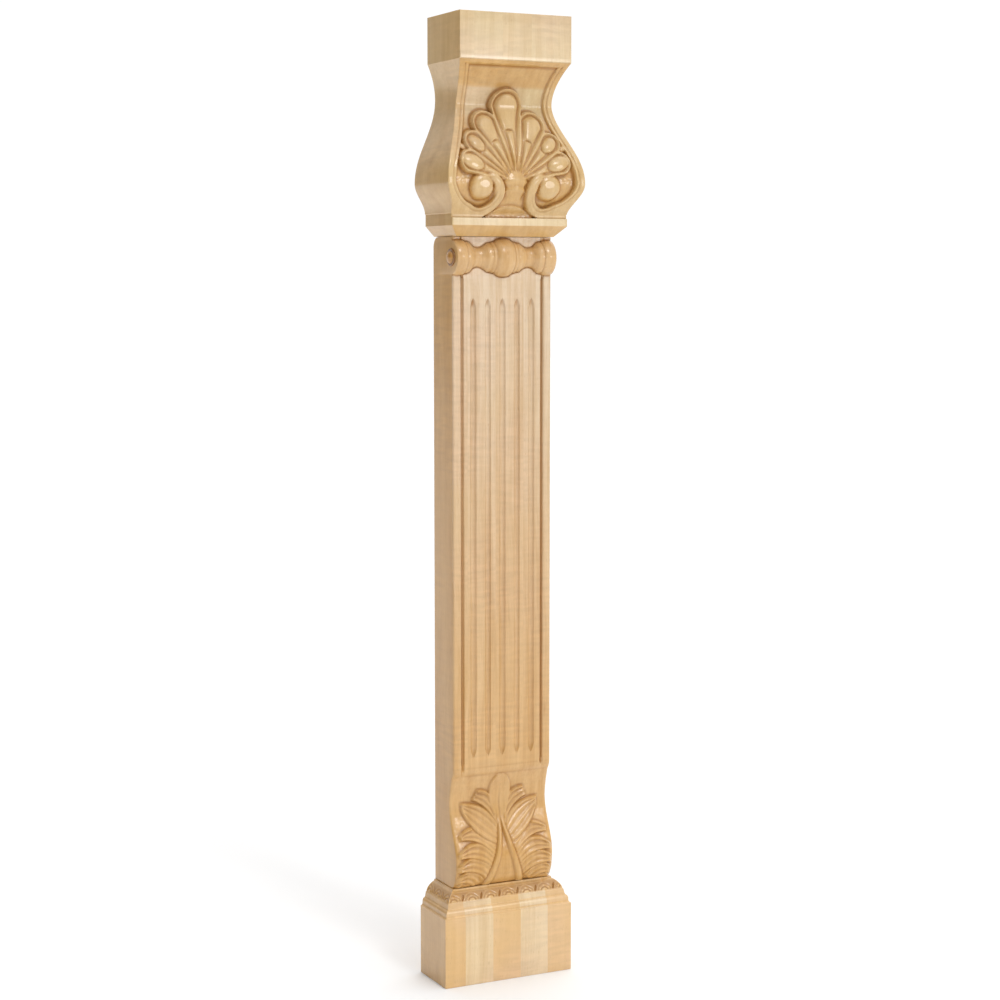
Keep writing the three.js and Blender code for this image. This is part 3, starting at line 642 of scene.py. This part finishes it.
def carved_piece(name, columns, levels, half_at, front_at, ground_at, back_at, round_edge, shades, softening):
    """One block: its carved front from a grid, then sides, ends and back.

    Columns run from -1 to 1 across the width. The functions give half the width, front, flat ground, back,
    edge rounding, the two shades and where the front is softened.
    """
    piece, column, row = grid_piece(name, len(columns), len(levels))
    z = levels[row]
    half = half_at(z)
    x = columns[column] * half
    fillet = round_edge(z)
    from_edge = half - np.abs(x)
    angle = (1 - np.clip(from_edge / fillet, 0, 1)) * np.pi / 2
    rounded = from_edge < fillet
    x = np.where(rounded, np.sign(x) * (half - fillet * (1 - np.sin(angle))), x)
    depth = front_at(x, z) - np.where(rounded, fillet * (1 - np.cos(angle)), 0.0)
    # The points in rows and columns, to average each with its neighbours, and the way back.
    order = np.lexsort((column, row))
    place = np.empty_like(order)
    place[order] = np.arange(len(order))
    shape = (len(levels), len(columns))
    soft = smoothed(depth[order].reshape(shape)).ravel()[place]
    depth = blend(depth, soft, softening(x, z))
    # How far each point lies below its neighbours turns it honey brown: stain gathered in the cut lines and
    # painted shade in the recesses.
    hollow = hollowness((depth[order] - ground_at(z)[order]).reshape(shape)).ravel()[place]
    set_points(piece, x, BACK - depth, z)
    gold, stain_and_shade = shades(x, z, depth)
    side = from_edge < 0.05
    # The sawn sides are painted darker, and warmer lower down: painted shade on the sides.
    lower_side_shade = share(z, 1150.0, 850.0)
    set_shade(piece, "hollow", np.where(side, SIDE_PAINTED_SHADE * lower_side_shade, np.clip(hollow + stain_and_shade, 0, 1)))
    set_shade(piece, "gold", np.where(side, blend(0.6, 1.0, lower_side_shade), gold))
    close_behind(piece, back_at, (levels[0], levels[-1]))
    return piece


def make_capital():
    """The capital's block: levels close together over the carving, and wide apart on the plain block."""
    levels = joined(
        steps(JOINT_Z, BAND["bottom"], 1.6),
        steps(BAND["bottom"], BAND["top"] - 0.1, 0.9),
        steps(BAND["top"], BLOCK["bottom"] - 0.1, 0.8),
        BLOCK["bottom"] + np.array([0.0, 0.3, 0.7, 1.4]),
        steps(BLOCK["bottom"] + 6, CAPITAL_HIGH[2] - 0.8, 12),
        CAPITAL_HIGH[2] + np.array([-0.4, -0.1, 0.0]),
    )
    edge = np.array([0.0, 0.3, 0.6, 0.9, 1.3]) / CAPITAL_HALF
    inner = steps(-1 + 2.0 / CAPITAL_HALF, 1 - 2.0 / CAPITAL_HALF, 0.84 / CAPITAL_HALF)
    columns = joined(-1 + edge, inner, (1 - edge)[::-1])

    def front(x, z):
        top = 0.8 * (1 - dome(share(z, CAPITAL_HIGH[2] - 0.8, CAPITAL_HIGH[2])))
        return capital_front(x, z) - top

    def shades(x, z, depth):
        # Deeper carving is more golden: partly stain taken up by the cut end grain, partly painted shade in
        # the recesses.
        recess = share(capital_edge(z) - depth, 0.5, 3.5)
        # Painted shadow: above z 1133 the neck is dark gold where the plain block shades it.
        shaded = share(z, 1130.0, 1135.0)
        # Painted light: below that shadow, a pale patch on the flat panel stands in for the light and the
        # lacquer's reflection on it.
        flat_panel = share(capital_edge(z) - depth, panel_sunk(z) - 2.2, panel_sunk(z) - 0.8)
        painted_panel_light = flat_panel * share(z, 1080.0, 1100.0) * (1 - shaded)
        body = blend(0.55 + 0.35 * recess, 0.10, painted_panel_light)
        body = blend(body, 0.95, shaded)
        plain_band = (z > BAND["bottom"]) & (z < BAND["top"] - 0.05)
        gold = np.where(z < BLOCK["bottom"] - 0.05, body, 0.04)
        gold = np.where(plain_band, 0.08, gold)
        # Painted shade: the slope under the band is dark gold.
        return np.where(z <= BAND["bottom"], 0.9, gold), np.zeros_like(x)

    piece = carved_piece(
        "capital_carving", columns, levels, capital_half, front, capital_edge,
        lambda z: BACK, lambda z: np.where(z > BLOCK["bottom"] - 0.05, 0.7, 1.3), shades,
        lambda x, z: 1.0 * (z < BLOCK["bottom"] - 7) * (z > BAND["top"] + 2),
    )
    finish_surface(piece)
    return piece


def make_shaft():
    """The shaft's block, with the roll at its top and the scrolled foot."""
    levels = joined(
        steps(SHAFT_LOW[2], 284, 0.8),
        steps(285, 302, 1.2),
        steps(310, 850, 11),
        steps(858, 896, 1.2),
        steps(896.7, SHAFT_HIGH[2], 0.7),
    )
    inner = (SHAFT_HALF - EDGE_BEAD["width"]) / SHAFT_HALF
    bead = 1 - EDGE_BEAD["width"] / SHAFT_HALF * (1 + np.cos(np.linspace(0, np.pi, 17))) / 2
    columns = joined(-bead[::-1], steps(-inner, inner, 0.74 / SHAFT_HALF)[1:-1], bead)

    def back_at(z):
        up = max(0.0, z - (SHAFT_HIGH[2] - BACK_CORNER)) / BACK_CORNER
        return BACK - BACK_CORNER * (1 - math.sqrt(max(0.0, 1 - up * up)))

    def ground(z):
        return np.where(z < FOOT["top"], foot_depth(z), PANEL_DEPTH)

    def shades(x, z, depth):
        roll, margin = roll_front(x, z)
        on_roll = share(roll - PANEL_DEPTH + 0.9 * hand_wave(x, z, 2.7), -0.2, 0.5) * (margin > 0)
        on_roll = np.maximum(on_roll, (np.abs(x) > DISC["inner"] - 1.3) * share(z, 899.0, 901.0))
        # Golden lower down: partly the wood's own colour, partly painted, the paler upper shaft standing in
        # for the lacquer's sheen there.
        low = 0.75 * share(z, 860.0, 300.0) + 0.2 * share(z, 270.0, 170.0)
        gold = np.maximum(0.72 * on_roll, 0.04 + low)
        # The flutes stay clean inside, with painted shade along one wall, and darker at their tips.
        flute = np.rint(x / FLUTE["pitch"]) * FLUTE["pitch"]
        within = (np.abs(x - flute) < FLUTE["width"] / 2) & (np.abs(x) < FLUTE["count"] / 2 * FLUTE["pitch"])
        within = within & (z > FLUTE["bottom"]) & (z < FLUTE["top"])
        wall = 0.42 * share(flute - x, 1.8, 3.2)
        tip = 0.35 * bump(z, FLUTE["top"] - 3, 4.5)
        first = 0.9 * bump(z, FLUTE["top"] - 6, 4.0) * bump(x, -2 * FLUTE["pitch"], 1.8)
        # A pin knot, a scorch mark above the leaf, and the groove on the left kept pale: painted light where
        # that groove is lit.
        knot = 0.75 * bump(x, 60.5, 1.5) * bump(z, 346.0, 4.0)
        scorch = 0.45 * bump(x, -33.0, 5.0) * bump(z, 240.0, 5.0)
        left_groove = -0.5 * share(x, -52.5, -54.0) * share(x, -60.0, -58.5) * (z < 897) * (z > 262)
        return gold, np.where(within, wall + tip + first - 0.55, 0.0) + knot + scorch + left_groove

    piece = carved_piece(
        "shaft_carving", columns, levels, lambda z: np.full_like(z, SHAFT_HALF), shaft_front, ground,
        back_at, lambda z: np.full_like(z, 1e-3), shades,
        lambda x, z: 1.0 * (z < 280) * (np.abs(x) < SHAFT_HALF - 3),
    )
    finish_surface(piece)
    return piece


def make_base():
    """The plinth and its moulding: one grid wrapped round the left side, the front and the right side."""
    corner = np.array([0.0, 0.15, 0.3, 0.5, 0.8])
    on_front = joined(corner, steps(1.5, 2 * BASE_HALF - 1.5, 0.62), 2 * BASE_HALF - corner[::-1])
    on_side = joined(corner, steps(1.5, BASE_DEPTH, 0.9))
    side_count = len(on_side) - 1
    face = np.concatenate([np.full(side_count, -1), np.zeros(len(on_front)), np.full(side_count, 1)])
    run = np.concatenate([on_side[:0:-1], on_front, on_side[1:]])
    levels = joined(
        np.array([0.0, 0.25, 0.5, 0.8]),
        steps(8, 84, 19),
        steps(88.4, 107, 0.6),
        steps(107.4, 120.2, 0.55),
        np.array([121.0, BASE_TOP]),
    )
    piece, column, row = grid_piece("base_carving", len(run), len(levels))
    z = levels[row]
    inset = np.interp(z, MOULD_Z, MOULD_IN)
    side = face[column]
    half = BASE_HALF - inset
    front = BASE_DEPTH - inset
    # Distance from the nearest upright corner, measured on the face and scaled to this height.
    length = np.where(side == 0, 2 * half, front)
    full = np.where(side == 0, 2 * BASE_HALF, BASE_DEPTH)
    s = run[column] / full * length
    from_corner = np.where(side == 0, np.minimum(s, length - s), s)
    angle = (1 - np.clip(from_corner / CORNER_FILLET, 0, 1)) * np.pi / 4
    round_in = np.where(from_corner < CORNER_FILLET, CORNER_FILLET * (1 - np.cos(angle)), 0.0)
    moved = np.where(from_corner < CORNER_FILLET, CORNER_FILLET * (1 - np.sin(angle)), from_corner)
    along = np.where(side == 0, np.where(s < length / 2, moved, length - moved), moved)
    across = np.where(side == 0, along - half, along - 4.0)
    fade = ease(share(from_corner, 0.4, 2.2)) * np.where(side == 0, 1.0, share(front - s, 0.5, 2.0))
    cut_in = leaf_row_cut(across, z, fade)
    cut_in = np.where((z > LEAF_ROW["bottom"]) & (z < LEAF_ROW["top"]), cut_in, 0.0)
    inward = round_in + cut_in
    x = np.where(side == 0, along - half, side * (half - inward))
    y = np.where(side == 0, BACK - front + inward, BACK - front + along)
    set_points(piece, x, y, z)
    carved = share(z, 107.0, 108.5)
    # Painted shade: the sides are darker and more golden, back from the corners.
    painted_side_shade = (side != 0) * share(s, 0.3, 1.0)
    # Golden in the two coves of the moulding.
    in_coves = 0.8 * bump(z, 91.2, 1.3) + 0.7 * bump(z, 100.0, 1.3)
    # The leaf row's cuts turn honey brown: stain gathered there and painted shade. The sides take their
    # painted shade here too.
    set_shade(piece, "hollow", np.clip(cut_in / 1.3, SIDE_PAINTED_SHADE * painted_side_shade, 1))
    set_shade(piece, "gold", np.maximum(np.maximum(0.1 + 0.6 * carved, 0.9 * painted_side_shade), in_coves))
    # Close the top, the underside and the back.
    bpy.ops.object.mode_set(mode="EDIT")
    bpy.ops.mesh.select_all(action="DESELECT")
    mesh = bmesh.from_edit_mesh(piece.data)
    for rim_z in (0.0, BASE_TOP):
        rim = [e for e in mesh.edges if all(abs(v.co.z / MM - rim_z) < 1e-3 for v in e.verts)]
        for edge in mesh.edges:
            edge.select_set(False)
        for edge in rim:
            edge.select_set(True)
        mesh.select_flush_mode()
        bmesh.update_edit_mesh(piece.data)
        bpy.ops.mesh.edge_face_add()
        mesh = bmesh.from_edit_mesh(piece.data)
    bpy.ops.mesh.select_all(action="SELECT")
    bpy.ops.mesh.fill_holes(sides=0)
    bpy.ops.mesh.select_all(action="SELECT")
    bpy.ops.mesh.normals_make_consistent(inside=False)
    bpy.ops.object.mode_set(mode="OBJECT")
    finish_surface(piece)
    return piece


def make_buttons():
    """A turned button spun from its profile on the end of the roll, and its mirrored twin."""
    low, high = box_mm("button_left")
    radius = (high[2] - low[2]) / 2
    thick = high[0] - low[0]
    ring = 2.2
    inner = radius * 0.72
    tip = 0.05
    # Each turned step is a radius and how far it stands off the shaft: a ring, then a dome inside it.
    profile = [(radius - 0.3, 0.0), (radius, 0.3), (radius, ring - 0.9), (radius - 0.25, ring - 0.3),
               (radius - 0.9, ring), (inner + 0.8, ring), (inner + 0.25, ring - 0.25)]
    for k in range(9):
        turn = math.pi / 2 * k / 8
        profile.append((inner * math.cos(turn), ring + (thick - ring) * math.sin(turn)))
    middle_y = (low[1] + high[1]) / 2
    middle_z = (low[2] + high[2]) / 2
    bpy.ops.object.select_all(action="DESELECT")
    bpy.ops.mesh.primitive_circle_add(
        vertices=64, radius=profile[0][0] * MM, fill_type="NGON", rotation=(0, math.radians(90), 0),
        location=(high[0] * MM, middle_y * MM, middle_z * MM),
    )
    left = bpy.context.active_object
    left.name = "button_left_turned"
    bpy.ops.object.transform_apply(location=True, rotation=True, scale=True)
    bpy.ops.object.mode_set(mode="EDIT")
    bpy.ops.mesh.select_all(action="SELECT")
    centre = (high[0] * MM, middle_y * MM, middle_z * MM)
    before, out_before = profile[0]
    for size, out in profile[1:]:
        size = max(size, tip)
        scale = size / before
        bpy.ops.mesh.extrude_region_move(
            TRANSFORM_OT_translate={"value": (-(out - out_before) * MM, 0, 0), "orient_type": "GLOBAL"}
        )
        bpy.ops.transform.resize(value=(1, scale, scale), center_override=centre, orient_type="GLOBAL")
        before, out_before = size, out
    bpy.ops.mesh.select_all(action="SELECT")
    bpy.ops.mesh.fill_holes(sides=0)
    bpy.ops.mesh.select_all(action="SELECT")
    bpy.ops.mesh.normals_make_consistent(inside=False)
    bpy.ops.object.mode_set(mode="OBJECT")
    count = len(left.data.vertices)
    set_shade(left, "gold", np.ones(count))
    flat = np.empty(count * 3)
    left.data.vertices.foreach_get("co", flat)
    flat = flat.reshape(-1, 3) / MM
    from_axis = np.hypot(flat[:, 1] - middle_y, flat[:, 2] - middle_z)
    # Painted shade: the ring round the dome is dark honey, the dome itself only lightly darkened.
    set_shade(left, "hollow", 0.1 + 0.7 * share(from_axis, inner - 0.1, inner + 0.5))
    bpy.ops.object.shade_smooth_by_angle(angle=math.radians(BUTTON_SMOOTH_ANGLE))
    bpy.ops.object.select_all(action="DESELECT")
    left.select_set(True)
    bpy.context.view_layer.objects.active = left
    bpy.ops.object.duplicate()
    right = bpy.context.active_object
    right.name = "button_right_turned"
    bpy.ops.transform.mirror(
        constraint_axis=(True, False, False), center_override=(0, 0, 0), orient_type="GLOBAL"
    )
    bpy.ops.object.transform_apply(location=True, rotation=True, scale=True)
    bpy.ops.object.mode_set(mode="EDIT")
    bpy.ops.mesh.select_all(action="SELECT")
    bpy.ops.mesh.normals_make_consistent(inside=False)
    bpy.ops.object.mode_set(mode="OBJECT")
    for piece in (left, right):
        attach(piece, "root")
    return left, right


# ---------- finishes ----------


def colour(hex_code):
    """An sRGB colour as linear RGBA."""
    parts = [int(hex_code[k : k + 2], 16) / 255 for k in (1, 3, 5)]
    return [c / 12.92 if c <= 0.04045 else ((c + 0.055) / 1.055) ** 2.4 for c in parts] + [1.0]


def node(tree, kind, links=None, **settings):
    """Adds a node with its settings. An input takes a value, an output or a node's first output in use."""
    new = tree.nodes.new(kind)
    for key, value in settings.items():
        setattr(new, key, value)
    for socket, source in (links or {}).items():
        if isinstance(source, bpy.types.Node):
            source = next(output for output in source.outputs if output.enabled)
        if isinstance(source, bpy.types.NodeSocket):
            tree.links.new(source, new.inputs[socket])
        else:
            new.inputs[socket].default_value = source
    return new


# Noise cells per metre across, deep and along the grain, then its detail and roughness.
GRAIN = {
    # Growth lines about 8 mm apart and 400 mm long.
    "growth": ((120, 60, 2.6), 3.0, 0.55),
    # Fibres, really a tenth of a millimetre wide, are drawn about 1 mm wide and 45 mm long so that they show.
    "fibre": ((900, 700, 22), 4.0, 0.6),
    # Short dark pores, 0.7 mm by 7 mm, also wider than real ones.
    "flecks": ((1500, 900, 150), 1.0, 0.5),
    # The cross ripple of a curly board, a wave each 6 mm or so.
    "ripple": ((34, 30, 170), 2.0, 0.5),
}
STAVE_M = 0.0393
DRIFT_M = 0.030
PATCHES_PER_M = 7.0


def lacquered_maple(name, stave_shift, stave_seed, stave_depth, tone):
    """Maple, glued up in staves, carved, stained and sprayed with clear satin lacquer.

    It gives the eye pale fine streaks, slightly different staves, warm cut lines and a soft gloss over them.
    """
    material = bpy.data.materials.new(name)
    material.use_nodes = True
    tree = material.node_tree
    tree.nodes.clear()
    where = node(tree, "ShaderNodeTexCoord").outputs["Object"]
    # The grain wanders a few millimetres to either side as it rises.
    drift = node(tree, "ShaderNodeTexNoise", {"Vector": where, "Scale": 3.5, "Detail": 2.0}).outputs["Color"]
    drift = node(tree, "ShaderNodeVectorMath", {0: drift, 1: (0.5, 0.5, 0.5)}, operation="SUBTRACT")
    drift = node(tree, "ShaderNodeVectorMath", {0: drift, "Scale": DRIFT_M}, operation="SCALE")
    grain = node(tree, "ShaderNodeVectorMath", {0: where, 1: drift}, operation="ADD")

    # Staves about 39 mm wide, each a little paler or darker than the next, and with its own grain.
    across = node(tree, "ShaderNodeSeparateXYZ", {0: where}).outputs[0]
    stave = node(tree, "ShaderNodeMath", {0: across, 1: stave_shift}, operation="ADD")
    stave = node(tree, "ShaderNodeMath", {0: stave, 1: STAVE_M}, operation="DIVIDE")
    stave = node(tree, "ShaderNodeMath", {0: stave}, operation="FLOOR")
    stave_key = node(tree, "ShaderNodeMath", {0: stave, 1: stave_seed}, operation="ADD")
    chance = node(tree, "ShaderNodeTexWhiteNoise", {"W": stave_key}, noise_dimensions="1D")
    chance = node(tree, "ShaderNodeMath", {0: chance, 1: 0.3}, operation="MULTIPLY")
    turn_about = node(tree, "ShaderNodeMath", {0: stave, 1: 1.0}, operation="PINGPONG")
    turn_about = node(tree, "ShaderNodeMath", {0: turn_about, 1: 0.7}, operation="MULTIPLY")
    stave_tone = node(tree, "ShaderNodeMath", {0: chance, 1: turn_about}, operation="ADD")
    stave_tone = node(tree, "ShaderNodeMath", {0: stave_tone, 1: stave_depth}, operation="MULTIPLY")
    back = node(tree, "ShaderNodeMath", {0: stave, 1: 0.37}, operation="MULTIPLY")
    shifted = node(tree, "ShaderNodeCombineXYZ", {0: 0.0, 1: back, 2: stave})
    grain = node(tree, "ShaderNodeVectorMath", {0: grain, 1: shifted}, operation="ADD")

    noises = {}
    for part, (per_metre, detail, rough) in GRAIN.items():
        drawn_out = node(tree, "ShaderNodeMapping", {"Vector": grain, "Scale": per_metre})
        links = {"Vector": drawn_out, "Scale": 1.0, "Detail": detail, "Roughness": rough}
        noises[part] = node(tree, "ShaderNodeTexNoise", links)
    links = {"Vector": where, "Scale": PATCHES_PER_M, "Detail": 2.0}
    patches = node(tree, "ShaderNodeTexNoise", links)

    # The pale wood: streaks, staves, and patches with a pink blush.
    lines = node(tree, "ShaderNodeMapRange", {"Value": noises["growth"], 1: 0.34, 2: 0.68})
    lines = node(tree, "ShaderNodeMath", {0: lines, 1: 0.62}, operation="MULTIPLY")
    fibres = node(tree, "ShaderNodeMapRange", {"Value": noises["fibre"], 1: 0.30, 2: 0.72})
    fibres = node(tree, "ShaderNodeMath", {0: fibres, 1: 0.38}, operation="MULTIPLY")
    figure = node(tree, "ShaderNodeMath", {0: lines, 1: fibres}, operation="ADD")
    links = {"Factor": figure, 6: colour(tone["light"]), 7: colour(tone["dark"])}
    pale = node(tree, "ShaderNodeMix", links, data_type="RGBA")
    links = {"Factor": stave_tone, 6: pale, 7: colour(tone["stave_dark"])}
    pale = node(tree, "ShaderNodeMix", links, data_type="RGBA")
    blush = node(tree, "ShaderNodeMapRange", {"Value": patches, 1: 0.42, 2: 0.66, 3: 0.0, 4: 0.45})
    links = {"Factor": blush, 6: pale, 7: colour(tone["blush"])}
    pale = node(tree, "ShaderNodeMix", links, data_type="RGBA")
    # Where stain was wiped on, the wood is golden. The same gold also carries painted shade, and less of it
    # painted light, where the pieces set it.
    links = {"Factor": figure, 6: colour(tone["gold_light"]), 7: colour(tone["gold_dark"])}
    golden = node(tree, "ShaderNodeMix", links, data_type="RGBA")
    gold = node(tree, "ShaderNodeAttribute", attribute_name="gold").outputs["Fac"]
    body = node(tree, "ShaderNodeMix", {"Factor": gold, 6: pale, 7: golden}, data_type="RGBA")
    # Finish gathers in the cut lines and turns them honey brown. The same honey also paints shade in the
    # recesses, along the flute walls and on the sawn sides.
    hollow = node(tree, "ShaderNodeAttribute", attribute_name="hollow").outputs["Fac"]
    stain_and_shade = node(tree, "ShaderNodeMath", {0: hollow, 1: 0.9}, operation="POWER")
    stain_and_shade = node(tree, "ShaderNodeMath", {0: stain_and_shade, 1: 0.8}, operation="MULTIPLY")
    body = node(tree, "ShaderNodeMix", {"Factor": stain_and_shade, 6: body, 7: colour(tone["honey"])}, data_type="RGBA")
    fleck = node(tree, "ShaderNodeMapRange", {"Value": noises["flecks"], 1: 0.66, 2: 0.78, 3: 0.0, 4: 0.30})
    body = node(tree, "ShaderNodeMix", {"Factor": fleck, 6: body, 7: colour(tone["honey"])}, data_type="RGBA")
    ripple = node(tree, "ShaderNodeMapRange", {"Value": noises["ripple"], 1: 0.35, 2: 0.65, 3: -0.5, 4: 0.5})
    curl = node(tree, "ShaderNodeMapRange", {"Value": patches, 1: 0.45, 2: 0.7, 3: 0.04, 4: 0.17})
    banding = node(tree, "ShaderNodeMath", {0: ripple, 1: curl}, operation="MULTIPLY")
    lift = node(tree, "ShaderNodeMath", {0: banding, 1: 1.0}, operation="ADD")
    body = node(tree, "ShaderNodeHueSaturation", {"Value": lift, "Color": body})

    gloss = node(tree, "ShaderNodeMapRange", {"Value": noises["fibre"], 1: 0.3, 2: 0.7, 3: 0.36, 4: 0.46})
    dulled = node(tree, "ShaderNodeMath", {0: hollow, 1: 0.08}, operation="MULTIPLY")
    gloss = node(tree, "ShaderNodeMath", {0: gloss, 1: dulled}, operation="ADD")
    surface = node(tree, "ShaderNodeBump", {"Height": noises["fibre"], "Strength": 0.10, "Distance": 0.0004})
    shader = node(tree, "ShaderNodeBsdfPrincipled", {
        "Base Color": body, "Roughness": gloss, "Normal": surface,
        "Coat Weight": 0.8, "Coat Roughness": 0.2, "Coat IOR": 1.5, "IOR": 1.45,
    })
    node(tree, "ShaderNodeOutputMaterial", {"Surface": shader})
    return material


# Tones of the finish: plain wood, darker staves, pink patches, stained wood, and stain in the cut lines. The
# stained and honey tones also serve as painted shade.
MAPLE = {
    "light": "#DBC698", "dark": "#CAAD7A", "stave_dark": "#D2A76B", "blush": "#D8B9A0",
    "gold_light": "#D6AC6C", "gold_dark": "#C2934D", "honey": "#A06A25",
}
SHAFT = dict(MAPLE, light="#E0CCAF", dark="#C4A277", gold_light="#D9AB68", gold_dark="#C49147")
PLINTH = dict(MAPLE, light="#ECD7B0", dark="#DABC8D", stave_dark="#DEB171", gold_light="#E2B672")
# The buttons' dark honey paints the shade in the ring round their domes.
TURNED = dict(MAPLE, gold_light="#CE974C", gold_dark="#AC7433", honey="#5E330F")


# ---------- studio ----------

KEY = {"turn": 8, "up": 42, "power": 0.65, "spread": 14}
# Each softbox: degrees from straight in front, distance, height, size across and up, and power.
SOFTBOXES = {
    "softbox_right": {"turn": 25.6, "distance": 2.4, "height": 1.19, "size": (0.24, 0.22), "power": 4.6},
    "softbox_left": {"turn": -13, "distance": 2.4, "height": 1.0, "size": (0.1, 1.3), "power": 3.5},
}
CAMERA = {"place": (-1.2060, -2.4139, 0.89065), "turn": 26.55, "drop": 5.79, "lens": 76.96, "sensor": 36}


def make_floor():
    """Matt white paper, which gives soft shadows and no reflection."""
    bpy.ops.object.select_all(action="DESELECT")
    bpy.ops.mesh.primitive_plane_add(size=40, location=(0, 0, 0))
    floor = bpy.context.active_object
    floor.name = "floor"
    material = bpy.data.materials.new("matt white floor")
    material.use_nodes = True
    shader = material.node_tree.nodes["Principled BSDF"]
    shader.inputs["Base Color"].default_value = (0.95, 0.95, 0.95, 1)
    shader.inputs["Roughness"].default_value = 0.9
    shader.inputs["Specular IOR Level"].default_value = 0.0
    floor.data.materials.append(material)


def add_softbox(name, box):
    """A softbox that faces the piece's axis at its own height."""
    turn = math.radians(box["turn"])
    place = Vector((box["distance"] * math.sin(turn), -box["distance"] * math.cos(turn), box["height"]))
    bpy.ops.object.light_add(type="AREA", location=place)
    lamp = bpy.context.active_object
    lamp.name = name
    lamp.data.shape = "RECTANGLE"
    lamp.data.size, lamp.data.size_y = box["size"]
    lamp.data.energy = box["power"]
    lamp.rotation_euler = (Vector((0, 0, box["height"])) - place).to_track_quat("-Z", "Y").to_euler()


def make_light():
    """A soft key from above, two softboxes in front, and a room that is darker to the left and in front."""
    world = bpy.data.worlds.new("studio")
    bpy.context.scene.world = world
    world.use_nodes = True
    tree = world.node_tree
    tree.nodes.clear()
    toward = node(tree, "ShaderNodeTexCoord").outputs["Generated"]
    parts = node(tree, "ShaderNodeSeparateXYZ", {0: toward}).outputs
    right = node(tree, "ShaderNodeMapRange", {"Value": parts[0], 1: -0.75, 2: 0.15, 3: 0.0, 4: 1.03})
    behind = node(tree, "ShaderNodeMapRange", {"Value": parts[1], 1: -0.3, 2: 0.3, 3: 0.55, 4: 1.0})
    above = node(tree, "ShaderNodeMapRange", {"Value": parts[2], 1: 0.3, 2: 1.0, 3: 0.0, 4: 0.85})
    walls = node(tree, "ShaderNodeMath", {0: right, 1: behind}, operation="MULTIPLY")
    strength = node(tree, "ShaderNodeMath", {0: walls, 1: above}, operation="ADD")
    light = node(tree, "ShaderNodeBackground", {"Color": (1, 1, 1, 1), "Strength": strength})
    node(tree, "ShaderNodeOutputWorld", {"Surface": light})

    bpy.ops.object.light_add(type="SUN", location=(0, -2, 3))
    key = bpy.context.active_object
    key.name = "key"
    turn = math.radians(KEY["turn"])
    aim = -Vector((math.sin(turn), -math.cos(turn), math.tan(math.radians(KEY["up"]))))
    key.rotation_euler = aim.to_track_quat("-Z", "Y").to_euler()
    key.data.energy = KEY["power"]
    key.data.angle = math.radians(KEY["spread"])
    for name, box in SOFTBOXES.items():
        add_softbox(name, box)


def make_camera():
    """A level-eyed view from the left of the front, looking a little down."""
    bpy.ops.object.camera_add(location=CAMERA["place"])
    camera = bpy.context.active_object
    turn, drop = math.radians(CAMERA["turn"]), math.radians(CAMERA["drop"])
    look = Vector((math.sin(turn) * math.cos(drop), math.cos(turn) * math.cos(drop), -math.sin(drop)))
    camera.rotation_euler = look.to_track_quat("-Z", "Y").to_euler()
    camera.data.lens = CAMERA["lens"]
    camera.data.sensor_width = CAMERA["sensor"]
    bpy.context.scene.camera = camera


# ---------- putting it together ----------

capital = make_capital()
shaft = make_shaft()
base = make_base()
button_left, button_right = make_buttons()

for piece, cad_node, slot in (
    (capital, "capital", "carved_wood"),
    (shaft, "shaft", "carved_wood"),
    (base, "base", "carved_wood"),
    (button_left, "button_left", "turned_button"),
    (button_right, "button_right", "turned_button"),
):
    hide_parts(cad_node)

capital.data.materials.append(lacquered_maple("lacquered maple, capital", 0.136, 3.0, 0.08, MAPLE))
shaft.data.materials.append(lacquered_maple("lacquered maple, shaft", 0.1275, 8.0, 0.14, SHAFT))
base.data.materials.append(lacquered_maple("lacquered maple, plinth", 0.1406, 14.0, 0.8, PLINTH))
turned_finish = lacquered_maple("lacquered maple, turned button", 0.4, 21.0, 0.1, TURNED)
button_left.data.materials.append(turned_finish)
button_right.data.materials.append(turned_finish)

make_floor()
make_light()
make_camera()
bpy.context.scene.view_settings.view_transform = "Standard"
